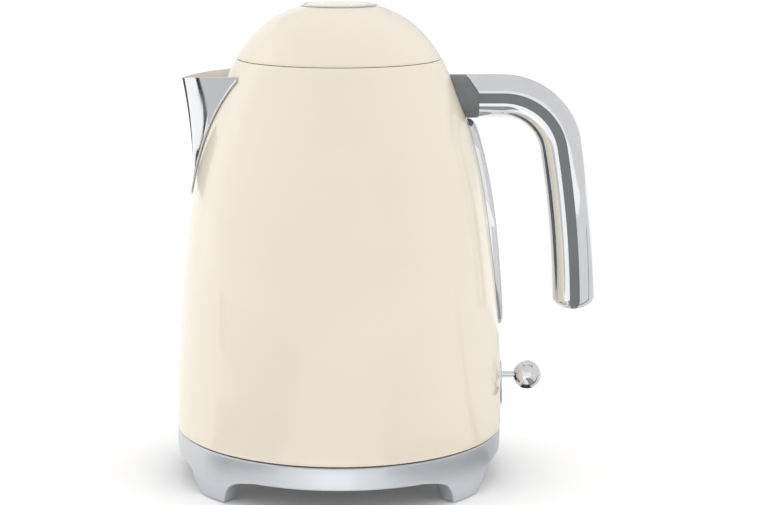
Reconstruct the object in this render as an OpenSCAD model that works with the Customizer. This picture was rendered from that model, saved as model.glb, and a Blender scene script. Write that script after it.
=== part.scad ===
// Electric kettle with a domed steel jug, a push-button lid, a three-layer handle and a footed power base.
// The jug's axis is vertical.  Each sub-part is drawn with that axis at x = 0, the spout towards -X and the
// handle towards +X, and at_axis() then centres the whole kettle over the origin.

/* [Jug] */
// Largest radius of the jug
widest_r = 85.6; // [70:0.1:95]
// Height of the jug's lower edge above the worktop
jug_z = 27; // [24:0.1:32]
// Distance from the end of the second arc up to the lid
neck_rise = 4; // [2:0.1:6]
// Radius of the profile's lowest arc
skirt_r = 780; // [700:10:900]
// Height of the lowest arc
skirt_h = 115; // [100:1:130]
// Radius of the second arc
side_r = 260; // [240:5:300]
// Height of the second arc
side_h = 73; // [66:1:80]
// Radius of the shoulder arc
shoulder_r = 64; // [62:1:68]
// Height of the shoulder arc
shoulder_h = 18; // [16:1:20]
// Radius of the crown arc
crown_r = 50; // [48:1:52]
// Thickness of the jug's steel wall
wall = 1; // [0.8:0.1:1.4]
// Gap between pieces that are fitted together
fit = 0.08; // [0.05:0.01:0.12]

/* [Spout] */
// Height of the spout, from its lowest point to its tip
spout_h = 59.4; // [50:0.1:70]
// Distance from the jug's upper edge down to the spout's tip
tip_drop = 10.1; // [9:0.1:14]
// Distance that the spout's tip stands out of the jug
tip_overhang = 22.8; // [18:0.1:28]
// Distance that the foot of the spout's ridge stands out of the jug
beak_overhang = 0.5; // [0.4:0.05:1.5]
// Rise of the rim from the tip to the jug
rim_rise = 2.9; // [1:0.1:4]
// Half of the spout's width where its rim meets the jug
spout_half = 26; // [22:0.5:28]
// Thickness of the spout's sheet
spout_wall = 1.3; // [1:0.1:1.6]
// Diameter of the bead that covers the spout's seam
bead_d = 2.4; // [1.8:0.1:3]

/* [Filter] */
// Width of one slot in the filter's screen
slot_w = 1.2; // [0.8:0.1:1.6]
// Spacing of the slots
slot_pitch = 2.6; // [2.2:0.1:4]

/* [Handle] */
// Distance from the jug's upper edge down to the middle of the handle's upper leg
grip_drop = 19.6; // [18:0.1:24]
// Distance from the jug to the start of the bend
bend_gap = 22.35; // [18:0.05:30]
// Radius of the bend
bend_r = 31; // [28:0.5:34]
// Angle that the bend turns through
bend_angle = 80; // [76:1:84]
// Radius of the hanging leg's slow curve
leg_r = 550; // [450:10:700]
// Length of the hanging leg
leg_length = 86.8; // [75:0.1:92]
// Depth of the handle's section, seen from the side
grip_depth = 22.5; // [20:0.1:24]
// Width of the handle's section, across
grip_width = 22; // [20:0.1:24]
// Width of the dark strip between the two covers
strip_w = 5.2; // [4:0.1:7]
// Recess of the dark strip below the covers
strip_recess = 0.35; // [0.1:0.05:0.8]
// Thickness of the metal covers at their thinnest
cover_t = 1.8; // [1.4:0.1:2.4]
// Distance from the jug to the upper cover's end, at the top
cover_gap = 3.85; // [3:0.05:6]
// Distance from the jug to both covers' ends, at the strip
cover_end_gap = 9.85; // [8:0.05:13]
// Length of the rounded end of the handle
tip_length = 7; // [5:0.5:9]

/* [Water gauge] */
// Height of the gauge frame
gauge_h = 109; // [95:1:115]
// Distance from the middle of the handle's upper leg down to the gauge frame
gauge_drop = 11.4; // [11.3:0.1:16]
// Half of the gauge frame's width
gauge_half = 13; // [10:0.5:16]
// Distance that the frame stands out of the jug
gauge_rise = 3.8; // [3:0.1:4.5]
// Width of the frame's rim around the window
gauge_rim = 5; // [4:0.1:6]

/* [Power lever] */
// Height of the lever's pivot above the jug's lower edge
lever_rise = 24.6; // [24:0.1:26]
// Distance from the jug's skin in to the lever's pivot
lever_depth = 21.2; // [19:0.1:23]
// Diameter of the lever's rod
rod_d = 3.5; // [3:0.1:4]
// Distance from the jug's skin out to the middle of the ball
ball_gap = 14.2; // [12:0.1:17]
// Diameter of the ball
ball_d = 15; // [12:0.5:16]
// Angle that the lever turns through
lever_angle = 16; // [12:1:17]
// Distance from the lever's pivot down to the plate's lower edge
plate_drop = 14.9; // [13:0.1:18]
// Height of the lever's plate
plate_h = 23.2; // [21:0.1:25]
// Width of the lever's plate
plate_w = 17; // [14:0.5:20]

/* [Lid] */
// Height of the seam between the jug and the lid
lid_gap = 0.7; // [0.5:0.1:1.2]
// Thickness of the lid's shell
lid_wall = 1.2; // [1:0.1:1.5]
// Distance from the skin at the jug's upper edge in to the lid's hinge
hinge_depth = 3.2; // [3:0.1:3.8]
// Distance from the jug's upper edge down to the lid's hinge
hinge_drop = 7.7; // [7.5:0.1:8.5]
// Diameter of the hinge pin
hinge_pin_d = 3; // [2.6:0.1:3.2]
// Width of the ledge that the neck ring adds inside the jug's upper edge
neck_ledge = 4.8; // [4.4:0.1:5]
// Gap between the neck ring and the lid's inner pan
pan_gap = 1.2; // [1:0.1:2]
// Distance from the jug's upper edge down to the pan's underside
pan_drop = 3.4; // [3:0.1:3.5]
// Distance from the hinge in to the flat back of the pan
pan_back = 13.6; // [12.5:0.1:15.5]

/* [Lid button] */
// Radius of the button
button_r = 17.1; // [15:0.1:17.4]
// Width of the ring around the button
button_rim = 2.5; // [2:0.1:4]
// Distance that the button stands out of the lid
button_rise = 1.74; // [1.2:0.02:3]
// Travel of the button
button_travel = 3; // [2:0.1:3]
// Radius of the button's stem
stem_r = 3; // [2.5:0.1:3.4]
// Latch travel for each millimetre of button travel
cam_rate = 0.8333; // [0.6:0.0001:0.85]
// Distance that the latch's nose reaches under the neck ring's ledge
latch_bite = 2.2; // [1.8:0.1:2.4]
// Width of the latch's nose
latch_w = 7; // [5:0.5:8]

/* [Heater and control] */
// Height of the heated floor above the jug's lower edge
floor_rise = 34; // [33:0.5:37]
// Thickness of the heated floor
floor_t = 1; // [0.8:0.1:1.2]
// Thickness of the floor's seal
seal_t = 2; // [1.5:0.1:2.5]
// Width of the heated floor's edge that the heat spreader leaves free
spreader_margin = 26.8; // [20:0.1:34]
// Thickness of the heat spreader
spreader_t = 3; // [2:0.5:4]
// Distance from the heat spreader's edge in to the element's ring
element_margin = 16; // [10:1:22]
// Diameter of the heating element's tube
element_d = 7; // [6:0.5:7]
// Radius of the control's housing
control_r = 24; // [23:0.5:27]
// Outer diameter of the steam tube
steam_d = 8; // [7:0.5:9]

/* [Cordless connector] */
// Radius of the base's connector tower
tower_r = 18; // [17:0.5:19]
// Height of the tower above the base's deck
tower_rise = 9; // [8:0.5:9.5]
// Radii of the two ring contacts
contact_radii = [6.7, 11.7];
// Width of the grooves in the tower
groove_w = 2.4; // [2:0.1:2.8]
// Radius of the socket in the jug
socket_r = 22; // [21.5:0.5:23]

/* [Power base] */
// Step from the jug's largest radius in to the base's ring
ring_step = 0.4; // [0:0.1:2]
// Height of the seam between the base's ring and the jug
ring_gap = 0.6; // [0.5:0.1:1.5]
// Lower edge of the base's ring between the feet
ring_low = 14.5; // [11:0.1:16]
// Thickness of the base's ring
ring_t = 2.6; // [2:0.1:3.5]
// Distance from the ring's top down to the deck
deck_drop = 1.9; // [1.5:0.1:3]
// Thickness of the deck
deck_t = 2.2; // [1.8:0.1:3]
// Angle of each foot from the jug's side-to-side line
foot_angle = 51; // [44:1:56]
// Width of a foot at the floor
foot_w = 22; // [18:1:28]
// Widening of each side of a foot by its straight flare
foot_flare = 6.5; // [4:0.5:9]
// Further widening of each side of a foot by the hollow curve into the ring
foot_sweep = 14; // [8:1:18]
// Radial thickness of a foot
foot_t = 8; // [6:0.5:11]
// Thickness of the rubber foot pads
pad_t = 1.6; // [1:0.1:2.5]
// Height that the pads stand out of the feet
pad_rise = 0.4; // [0.3:0.1:0.8]
// Radius of the drum that the cord winds on
drum_r = 40; // [34:1:46]

/* [Hidden] */
$fn = 64;

cream = "#f0e8d6";
chrome = "#c9cccf";
dark = "#6f7274";
steel = "#a9adb0";
brass = "#b9954f";
black = "#26282a";
clear = "#8fa3ad";
silver = "#b4b8bb";

// --- The jug's profile: four arcs, each tangent to the next ---

skirt_top = jug_z + skirt_h;
side_top = skirt_top + side_h;
shoulder_top = side_top + shoulder_h;
neck_z = side_top + neck_rise;

arc_r = [skirt_r, side_r, shoulder_r, crown_r];
centre_0 = [widest_r - skirt_r, jug_z];
turn_0 = asin((skirt_top - centre_0[1]) / skirt_r);
centre_1 = centre_0 + (skirt_r - side_r) * [cos(turn_0), sin(turn_0)];
turn_1 = asin((side_top - centre_1[1]) / side_r);
centre_2 = centre_1 + (side_r - shoulder_r) * [cos(turn_1), sin(turn_1)];
turn_2 = asin((shoulder_top - centre_2[1]) / shoulder_r);
centre_3 = centre_2 + (shoulder_r - crown_r) * [cos(turn_2), sin(turn_2)];
arc_centre = [centre_0, centre_1, centre_2, centre_3];
arc_turn = [turn_0, turn_1, turn_2];

// Height at which arc i hands over to the next one, on a skin set in by inset
function knot_z(i, inset) = arc_centre[i][1] + (arc_r[i] - inset) * sin(arc_turn[i]);

// Index of the arc that holds height z
function arc_at(z, inset) =
    z > knot_z(2, inset) ? 3 : z > knot_z(1, inset) ? 2 : z > knot_z(0, inset) ? 1 : 0;

// Radius of the jug's skin at height z; inset is positive towards the inside
function skin_r(z, inset = 0) =
    let (i = arc_at(z, inset), rise = z - arc_centre[i][1])
    arc_centre[i][0] + sqrt(max(0, pow(arc_r[i] - inset, 2) - rise * rise));

// Height of the lid's crown at radius r
function crown_z(r, inset = 0) =
    arc_centre[3][1] + sqrt(pow(crown_r - inset, 2) - pow(r - arc_centre[3][0], 2));

// Distance from the jug's axis to the skin, along X, at sideways distance y
function skin_x(z, y, inset = 0) = sqrt(pow(skin_r(z, inset), 2) - y * y);

// Heights from low to high in steps of about 4 mm
function heights(low, high) =
    let (count = ceil((high - low) / 4)) [for (i = [0 : count]) low + (high - low) * i / count];

// Points of a layer of the wall between two insets
function layer(low, high, outer, inner) =
    let (levels = heights(low, high), last = len(levels) - 1)
    concat([for (z = levels) [skin_r(z, outer), z]],
        [for (i = [last : -1 : 0]) [skin_r(levels[i], inner), levels[i]]]);

// A closed layer all round the jug between two insets
module skin_layer(low, high, outer, inner) {
    rotate_extrude() polygon(layer(low, high, outer, inner));
}

// Everything inside the skin, set in by inset
module skin_inside(low, high, inset) {
    rotate_extrude()
        polygon(concat([[0, low]], [for (z = heights(low, high)) [skin_r(z, inset), z]], [[0, high]]));
}

// --- Sizes worked out from the driving dimensions ---

neck_skin = skin_r(neck_z);
lid_z = neck_z + lid_gap;
hinge_x = neck_skin - hinge_depth;
hinge_z = neck_z - hinge_drop;
neck_r = neck_skin - neck_ledge;
pan_r = neck_r - pan_gap;
pan_z = neck_z - pan_drop;
pan_back_x = hinge_x - pan_back;
lid_hole_r = button_r + 1;
ring_r = button_r + button_rim;
brim_z = crown_z(lid_hole_r);
button_top = brim_z + button_rise;
latch_reach = neck_r + latch_bite;

tip_z = neck_z - tip_drop;
spout_z = tip_z - spout_h;
grip_z = neck_z - grip_drop;
gauge_high = grip_z - gauge_drop;
gauge_low = gauge_high - gauge_h;
lever_z = jug_z + lever_rise;
plate_low = lever_z - plate_drop;
plate_high = plate_low + plate_h;
floor_z = jug_z + floor_rise;

tip_reach = skin_r(tip_z) + tip_overhang;
sheet_low = spout_z + 5.5;
beak_reach = skin_r(sheet_low) + beak_overhang;
bend_x = skin_r(grip_z) + bend_gap;
cover_x = skin_r(grip_z) + cover_gap;
cover_end_x = skin_r(grip_z) + cover_end_gap;
lever_x = skin_r(lever_z) - lever_depth;
ball_x = skin_r(lever_z) + ball_gap;

spreader_r = skin_r(floor_z) - spreader_margin;
element_r = spreader_r - element_margin;
ring_out_r = widest_r - ring_step;
ring_top = jug_z - ring_gap;
deck_z = ring_top - deck_drop;
deck_in_r = ring_out_r - ring_t;
tower_top = deck_z + tower_rise;

leg_end_angle = bend_angle + (leg_length - tip_length) / leg_r * 180 / PI;
rear_reach = bend_x + bend_r * sin(bend_angle) + leg_r * (sin(leg_end_angle) - sin(bend_angle))
    + grip_depth / 2 * sin(leg_end_angle);
axis_x = (widest_r - rear_reach) / 2;

pin_fit = 0.04;
lug_y = 15;
lug_t = 3;
arm_y = 7.5;
arm_t = 5;
barrel_r = 3.2;
spring_wire = 1.2;
bolt_low = lid_z + 0.3;
bolt_t = 2.4;
nose_low = bolt_low - 4.1;
cam_low = bolt_low - 1;
cam_high = bolt_low + bolt_t + 2.6;
guide_z = bolt_low + 7;
guide_top = bolt_low + 15;
ear_gap = 7.6;
steam_foot = [skin_x(floor_z - 5, 22, 11.7), 22, floor_z - 5];
steam_head = [skin_x(neck_z - 15, 17.5, 9), 17.5, neck_z - 15];
gland_x = ring_out_r - 27.2;
gland_turn = 25;

// A length that reaches past anything it cuts through
beyond = 2 * widest_r;

module at_axis() {
    translate([axis_x, 0, 0]) children();
}

// A round bar from point p to point q
module bar(p, q, r) {
    d = q - p;
    translate(p)
        rotate([0, acos(d[2] / norm(d)), atan2(d[1], d[0])])
            cylinder(r = r, h = norm(d));
}

// A round bar across the jug, centred on the XZ plane
module cross_bar(x, z, r, length) {
    translate([x, 0, z]) rotate([90, 0, 0]) cylinder(r = r, h = length, center = true);
}

// A plate with an outline in XZ, centred on the XZ plane
module side_plate(outline, width) {
    rotate([90, 0, 0]) linear_extrude(width, center = true) polygon(outline);
}

// A pair of plates with an outline in XZ, from y = near to near + width on each side
module side_pair(outline, near, width) {
    for (side = [-1, 1])
        translate([0, side * (near + width / 2), 0]) side_plate(outline, width);
}

// A prism along X with an outline in YZ, from x = from to x = to
module end_prism(outline, from, to) {
    translate([from, 0, 0]) rotate([90, 0, 90]) linear_extrude(to - from) polygon(outline);
}

// Solid through successive rings of points, closed at both ends
module ring_solid(rings) {
    n = len(rings);
    m = len(rings[0]);
    sides = [for (i = [0 : n - 2], k = [0 : m - 1])
        each [[i * m + k, (i + 1) * m + k, (i + 1) * m + (k + 1) % m],
              [i * m + k, (i + 1) * m + (k + 1) % m, i * m + (k + 1) % m]]];
    first = [for (k = [0 : m - 1]) k];
    last = [for (k = [m - 1 : -1 : 0]) (n - 1) * m + k];
    polyhedron([for (ring = rings) each ring], concat([first], sides, [last]));
}

// Solid through rings of points that join up end to end
module ring_loop(rings) {
    n = len(rings);
    m = len(rings[0]);
    polyhedron([for (ring = rings) each ring], [for (i = [0 : n - 1], k = [0 : m - 1])
        each [[i * m + k, (i + 1) % n * m + k, (i + 1) % n * m + (k + 1) % m],
              [i * m + k, (i + 1) % n * m + (k + 1) % m, i * m + (k + 1) % m]]]);
}

// --- Jug shell ---

// Half-width of the spout's seam on the jug at height z
function seam_half(z) = spout_half * pow(max(0, (z - spout_z) / (tip_z + rim_rise - spout_z)), 1.5);

mouth_top = tip_z - 2.9;
mouth_edge = 3.6;
mouth_low = spout_z + 0.35 * spout_h;
mouth_steps = 8;

// Outline of the pouring mouth in YZ, grown by grow
function mouth(grow) =
    let (levels = [for (i = [0 : mouth_steps]) mouth_low + (mouth_top - mouth_low) * i / mouth_steps],
        half = [for (z = levels) max(0.4, seam_half(z) - mouth_edge) + grow],
        lifted = [for (i = [0 : mouth_steps]) levels[i] + grow * (2 * i / mouth_steps - 1)])
    concat([for (i = [0 : mouth_steps]) [half[i], lifted[i]]],
        [for (i = [mouth_steps : -1 : 0]) [-half[i], lifted[i]]]);

gauge_mid = (gauge_low + gauge_high) / 2;
oval_steps = 48;

// Point [y, z] of the gauge's long oval at angle t, set in by inset
function oval_point(t, inset) =
    [(gauge_half - inset) * cos(t), gauge_mid + ((gauge_high - gauge_low) / 2 - inset * 2.4) * sin(t)];

// Outline of the gauge in YZ, set in by inset
function oval(inset) = [for (i = [0 : oval_steps - 1]) oval_point(i * 360 / oval_steps, inset)];

slot_low = lever_z - (skin_r(lever_z) - lever_x) * sin(lever_angle) - rod_d / 2 - 1;
slot_high = lever_z + rod_d / 2 + 0.5;
slot_half = rod_d / 2 + 0.6;
screw_z = [grip_z - 6, grip_z + 6];

module lever_slot() {
    end_prism([[-slot_half, slot_low], [slot_half, slot_low], [slot_half, slot_high], [-slot_half, slot_high]],
        lever_x + 6, beyond);
}

module body_shell() {
    color(cream) difference() {
        skin_layer(jug_z, neck_z, 0, wall);
        end_prism(mouth(0), -beyond, 0);
        end_prism(oval(gauge_rim), 0, beyond);
        lever_slot();
        for (z = screw_z)
            translate([0, 0, z]) rotate([0, 90, 0]) cylinder(r = 2.2, h = beyond);
    }
}

collar_low = neck_z - 5.6;
collar_top = neck_z - 0.6;
hinge_gap_x = pan_back_x - 2;
hinge_gap_y = lug_y + lug_t + 3;

// Collar inside the jug's neck: the lid's seat, the latch's keeper and the hinge's two lugs
module neck_ring() {
    color(dark) difference() {
        union() {
            difference() {
                rotate_extrude() polygon([[neck_r, collar_low + 1.5],
                    [skin_r(collar_low, wall + fit), collar_low], [skin_r(collar_top, wall + fit), collar_top],
                    [neck_r + 0.6, collar_top], [neck_r, collar_top - 0.6]]);
                translate([hinge_gap_x, -hinge_gap_y, collar_low - 1])
                    cube([beyond, 2 * hinge_gap_y, neck_z - collar_low + 1]);
            }
            intersection() {
                union() {
                    side_pair([[hinge_x - 4, hinge_z - 5], [beyond, hinge_z - 5], [beyond, collar_top],
                        [hinge_x + 1, collar_top], [hinge_x - 4, hinge_z + 4]], lug_y, lug_t);
                    side_pair([[hinge_gap_x, collar_low + 1.5], [beyond, collar_low + 1.5],
                        [beyond, collar_top], [hinge_gap_x, collar_top]], lug_y + lug_t, 3.1);
                }
                difference() {
                    skin_inside(hinge_z - 8, collar_top, wall + fit);
                    translate([0, 0, hinge_z]) cylinder(r = neck_r - 4, h = neck_z - hinge_z);
                }
            }
        }
        cross_bar(hinge_x, hinge_z, hinge_pin_d / 2 + pin_fit, beyond);
        translate([-latch_reach - 0.5, -latch_w / 2 - 0.5, nose_low - 0.6]) cube([6, latch_w + 1, 10]);
    }
}

// --- Spout ---

spout_levels = 10;
spout_across = 9;
nose_round = 1.2;
rim_round = 0.1;

// Distance from the jug's axis to the spout's front ridge at height z
function ridge_reach(z) =
    beak_reach + (tip_reach - beak_reach) * pow(max(0, (z - spout_z) / (tip_z - spout_z)), 2.2);

// Height above its middle of a V with a rounded point, for t from -1 to 1; both ends are at 1
function vee(t, round) = (norm([t, round]) - round) / (norm([1, round]) - round);

// Point on the spout's outer (inset 0) or inner sheet
function spout_point(level, t, inset) =
    let (top = tip_z + rim_rise * vee(t, rim_round), z = sheet_low + (top - sheet_low) * level,
        half = max(0.6, seam_half(z)), room = ridge_reach(z) - skin_x(z, 0),
        near_half = inset == 0 ? half : max(0.3 * half, half - inset * 1.1),
        reach = ridge_reach(z) - min(inset * 1.25, 0.5 * room), seat = skin_x(z, near_half, -2 * fit))
    [-(reach + (seat - reach) * vee(t, nose_round)), near_half * t, z];

module spout() {
    color(chrome) ring_solid([for (j = [0 : spout_levels]) let (level = j / spout_levels)
        concat([for (k = [-spout_across : spout_across]) spout_point(level, k / spout_across, 0)],
            [for (k = [spout_across : -1 : -spout_across]) spout_point(level, k / spout_across, spout_wall)])]);
}

bead_steps = 14;
bead_sides = 8;
bead_flat = 0.5;

// Middle of the seam bead, for t from -1 to 1
function bead_point(t) =
    let (z = spout_z - 0.8 + (tip_z + rim_rise - 0.4 - spout_z) * pow(abs(t), 0.8),
        y = sign(t) * (seam_half(z) + bead_d * 0.5))
    [-skin_x(z, y, -bead_d * bead_flat / 2 - fit), y, z];

// Flattened ring of points around p, square to direction d
function bead_ring(p, d, r) =
    let (u = d / norm(d), v = cross(u, [1, 0, 0]) / norm(cross(u, [1, 0, 0])), w = cross(u, v))
    [for (a = [0 : 360 / bead_sides : 359]) p + r * (cos(a) * v + bead_flat * sin(a) * w)];

module spout_trim() {
    color(chrome) ring_solid([for (i = [-bead_steps : bead_steps]) let (t = i / bead_steps, e = 0.02)
        bead_ring(bead_point(t), bead_point(t + e) - bead_point(t - e), bead_d / 2)]);
}

// --- Limescale filter ---

filter_t = 1.6;
filter_gap = 0.4;
filter_rim = 2.2;

module filter_frame() {
    color(dark) {
        difference() {
            intersection() {
                skin_layer(mouth_low - 4, mouth_top + 4, wall + filter_gap, wall + filter_gap + filter_t);
                end_prism(mouth(filter_rim), -beyond, 0);
            }
            end_prism(mouth(-0.8), -beyond, 0);
        }
    }
}

module filter_mesh() {
    color(steel) difference() {
        intersection() {
            skin_layer(mouth_low - 4, mouth_top + 4, wall + filter_gap + 0.6, wall + filter_gap + 1);
            end_prism(mouth(-0.8 - 0.02), -beyond, 0);
        }
        for (z = [mouth_low + 6 : slot_pitch * 2 : mouth_top - 3])
            let (half = seam_half(z) - mouth_edge - 2)
                for (y = [-floor(half / slot_pitch) * slot_pitch : slot_pitch : half])
                    translate([-beyond, y - slot_w / 2, z - slot_pitch * 0.65])
                        cube([beyond, slot_w, slot_pitch * 1.3]);
    }
}

// --- Handle ---

bend_steps = 10;
leg_steps = 4;
core_y = grip_width / 2 * 0.5;
core_n = grip_depth / 2 - cover_t * 2;

bend_arc = bend_r * bend_angle * PI / 180;
bend_end = [bend_x + bend_r * sin(bend_angle), grip_z - bend_r * (1 - cos(bend_angle))];

// Heading of the handle's middle line, in degrees below level, s mm past the start of the bend
function heading(s) =
    s < 0 ? 0 : s < bend_arc ? s / bend_r * 180 / PI : bend_angle + (s - bend_arc) / leg_r * 180 / PI;

// Point [x, z] of the handle's middle line, s mm past the start of the bend
function grip_line(s) =
    let (a = heading(s))
    s < 0 ? [bend_x + s, grip_z]
    : s < bend_arc ? [bend_x + bend_r * sin(a), grip_z - bend_r * (1 - cos(a))]
    : bend_end + leg_r * [sin(a) - sin(bend_angle), cos(a) - cos(bend_angle)];

grip_length = bend_arc + leg_length;
tip_turns = [0, 25, 45, 62, 76];

// Stations along the bend, the leg and the rounded end, each with the scale of its section
grip_stations = concat(
    [for (i = [0 : bend_steps]) [bend_arc * i / bend_steps, 1]],
    [for (i = [1 : leg_steps - 1]) [bend_arc + (leg_length - tip_length) * i / leg_steps, 1]],
    [for (a = tip_turns) [grip_length - tip_length * (1 - sin(a)), cos(a)]]);

// A section point [n, y], n outwards in the handle's plane, placed at station s
function grip_point(p, s, scale) =
    let (a = heading(s), c = grip_line(s), n = p[0] * scale)
    [c[0] + n * sin(a), p[1] * scale, c[1] + n * cos(a)];

// Distance from the jug's axis at which the covers start, for a point n above the middle line
function cover_start(n) =
    cover_end_x + (cover_x - cover_end_x) * max(0, n - strip_w / 2) / (grip_depth / 2 - strip_w / 2);

// Point of the handle's round outline at angle a from its outer side
function grip_round(a) = [grip_depth / 2 * cos(a), grip_width / 2 * sin(a)];

// The same section point, placed in the straight root at distance x from the jug's axis
function root_point(p, x) = [x, p[1], grip_z + p[0]];

strip_turn = acos(strip_w / grip_depth);

// Sections of the covers: round outside, with a hollow that fits over the frame's core
function cover_section(side) =
    let (turns = [for (i = [-6 : 6]) strip_turn * i / 6], n = strip_w / 2 + fit)
    concat([for (a = turns) [side * max(n, grip_round(a)[0]), side * grip_round(a)[1]]],
        [[side * n, side * (core_y + fit)], [side * (core_n + fit), side * (core_y + fit)],
         [side * (core_n + fit), -side * (core_y + fit)], [side * n, -side * (core_y + fit)]]);

module grip_cover(side) {
    section = cover_section(side);
    ring_solid(concat([[for (p = section) root_point(p, cover_start(p[0]) + fit)]],
        [for (station = grip_stations) [for (p = section) grip_point(p, station[0], station[1])]]));
}

// Corners of the frame's section: a core inside the covers and a strip that shows between them
strip_y = grip_width / 2 * sin(strip_turn) - strip_recess;
frame_corners = [[core_n, core_y], [strip_w / 2, core_y], [strip_w / 2, strip_y], [-strip_w / 2, strip_y],
    [-strip_w / 2, core_y], [-core_n, core_y], [-core_n, -core_y], [-strip_w / 2, -core_y],
    [-strip_w / 2, -strip_y], [strip_w / 2, -strip_y], [strip_w / 2, -core_y], [core_n, -core_y]];

// The corners with points between them, so that round and cornered sections match point for point
function refined(corners, parts) =
    [for (i = [0 : len(corners) - 1], j = [0 : parts - 1])
        let (next = corners[(i + 1) % len(corners)]) corners[i] + (next - corners[i]) * j / parts];

module handle_frame() {
    section = refined(frame_corners, 3);
    round = [for (p = section) grip_round(atan2(p[1] / grip_width, p[0] / grip_depth))];
    color(dark) ring_solid(concat(
        [for (spread = [0.02, 0.35, 0.7, 1])
            [for (p = round) root_point(p * spread, skin_x(grip_z + p[0] * spread, p[1] * spread, -2 * fit))]],
        [[for (p = round) root_point(p, cover_start(p[0]))]],
        [[for (p = section) root_point(p, cover_start(p[0]))]],
        [for (station = grip_stations) [for (p = section) grip_point(p, station[0], station[1])]]));
}

module handle_outer_cover() {
    color(chrome) grip_cover(1);
}

module handle_inner_cover() {
    color(chrome) grip_cover(-1);
}

screw_grip = 9;
screw_head_r = 3.6;

// Screws from inside the jug into the handle's root
module handle_screws() {
    color(steel) for (z = screw_z) {
        seat = skin_x(z + screw_head_r, screw_head_r, wall + fit);
        translate([seat - 2, 0, z]) rotate([0, 90, 0]) cylinder(r = screw_head_r, h = 2);
        translate([seat - 0.5, 0, z]) rotate([0, 90, 0]) cylinder(r = 2, h = screw_grip);
    }
}

// --- Water gauge ---

bezel_steps = 44;

// Point of the bezel at angle t, set in by inset and raised above the jug's skin, less so at its lower end
function bezel_point(t, inset, rise) =
    let (p = oval_point(t, inset), low = 1 - 0.35 * max(0, -sin(t)))
    [skin_x(p[1], p[0], -rise * low - 2 * fit), p[0], p[1]];

module gauge_bezel() {
    color(chrome) ring_loop([for (i = [0 : bezel_steps - 1]) let (t = i * 360 / bezel_steps)
        [bezel_point(t, 0, 0), bezel_point(t, 0.15, gauge_rise * 0.45), bezel_point(t, 1, gauge_rise * 0.85),
         bezel_point(t, 2.4, gauge_rise), bezel_point(t, gauge_rim - 0.6, gauge_rise * 0.8),
         bezel_point(t, gauge_rim, gauge_rise * 0.4), bezel_point(t, gauge_rim, 0)]]);
}

module gauge_window() {
    color(clear) intersection() {
        skin_layer(gauge_low - 4, gauge_high + 4, -0.9, wall + 1.2);
        end_prism(oval(gauge_rim + fit + 0.05), 0, beyond);
    }
}

module gauge_gasket() {
    color(black) difference() {
        intersection() {
            skin_layer(gauge_low - 4, gauge_high + 4, wall + fit, wall + 1.2);
            end_prism(oval(gauge_rim - 2.4), 0, beyond);
        }
        end_prism(oval(gauge_rim + fit), 0, beyond);
    }
}

// --- Power lever ---

module switch_plate() {
    half = plate_w / 2;
    corner = 3;
    color(chrome) difference() {
        intersection() {
            skin_layer(plate_low - 2, plate_high + 2, -1.2, -fit);
            translate([lever_x, 0, 0]) rotate([90, 0, 90]) linear_extrude(beyond)
                union() {
                    translate([-half, plate_low + corner]) square([plate_w, plate_h - 2 * corner]);
                    translate([-half + corner, plate_low]) square([plate_w - 2 * corner, plate_h]);
                    for (y = [-half + corner, half - corner], z = [plate_low + corner, plate_high - corner])
                        translate([y, z]) circle(r = corner);
                }
        }
        lever_slot();
    }
}

module switch_lever() {
    color(chrome) difference() {
        union() {
            cross_bar(lever_x, lever_z, hinge_pin_d / 2 + 1.8, ear_gap - 0.4);
            bar([lever_x + 2.4, 0, lever_z], [ball_x, 0, lever_z], rod_d / 2);
        }
        cross_bar(lever_x, lever_z, hinge_pin_d / 2 + pin_fit, 2 * ear_gap);
    }
}

module lever_knob() {
    color(chrome) difference() {
        translate([ball_x, 0, lever_z]) sphere(d = ball_d);
        bar([ball_x - ball_d, 0, lever_z], [ball_x, 0, lever_z], rod_d / 2 + 0.02);
    }
}

module lever_pivot_pin() {
    color(steel) cross_bar(lever_x, lever_z, hinge_pin_d / 2, ear_gap + 6);
}

// --- Lid ---

module lid_shell() {
    levels = concat(heights(lid_z, brim_z - 3), [brim_z - 1.4, brim_z]);
    inner = [for (i = [len(levels) - 1 : -1 : 0]) let (z = levels[i] - lid_wall * 0.9) if (z > lid_z) z];
    color(cream) rotate_extrude()
        polygon(concat([for (z = levels) [skin_r(z), z]],
            [for (z = inner) [max(lid_hole_r, skin_r(z, lid_wall)), z]], [[skin_r(lid_z, lid_wall), lid_z]]));
}

pan_top = pan_z + 1.4;
cradle_x = latch_reach - 12.2;
pan_wall = 1.5;
flange_low = lid_z + 0.7;
flange_t = 1.3;

// The latch's path through the pan's wall
module latch_gate() {
    translate([-beyond, -latch_w / 2 - 0.6, pan_z - 1]) cube([beyond - pan_r + 3.2, latch_w + 1.2, 9]);
}

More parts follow.
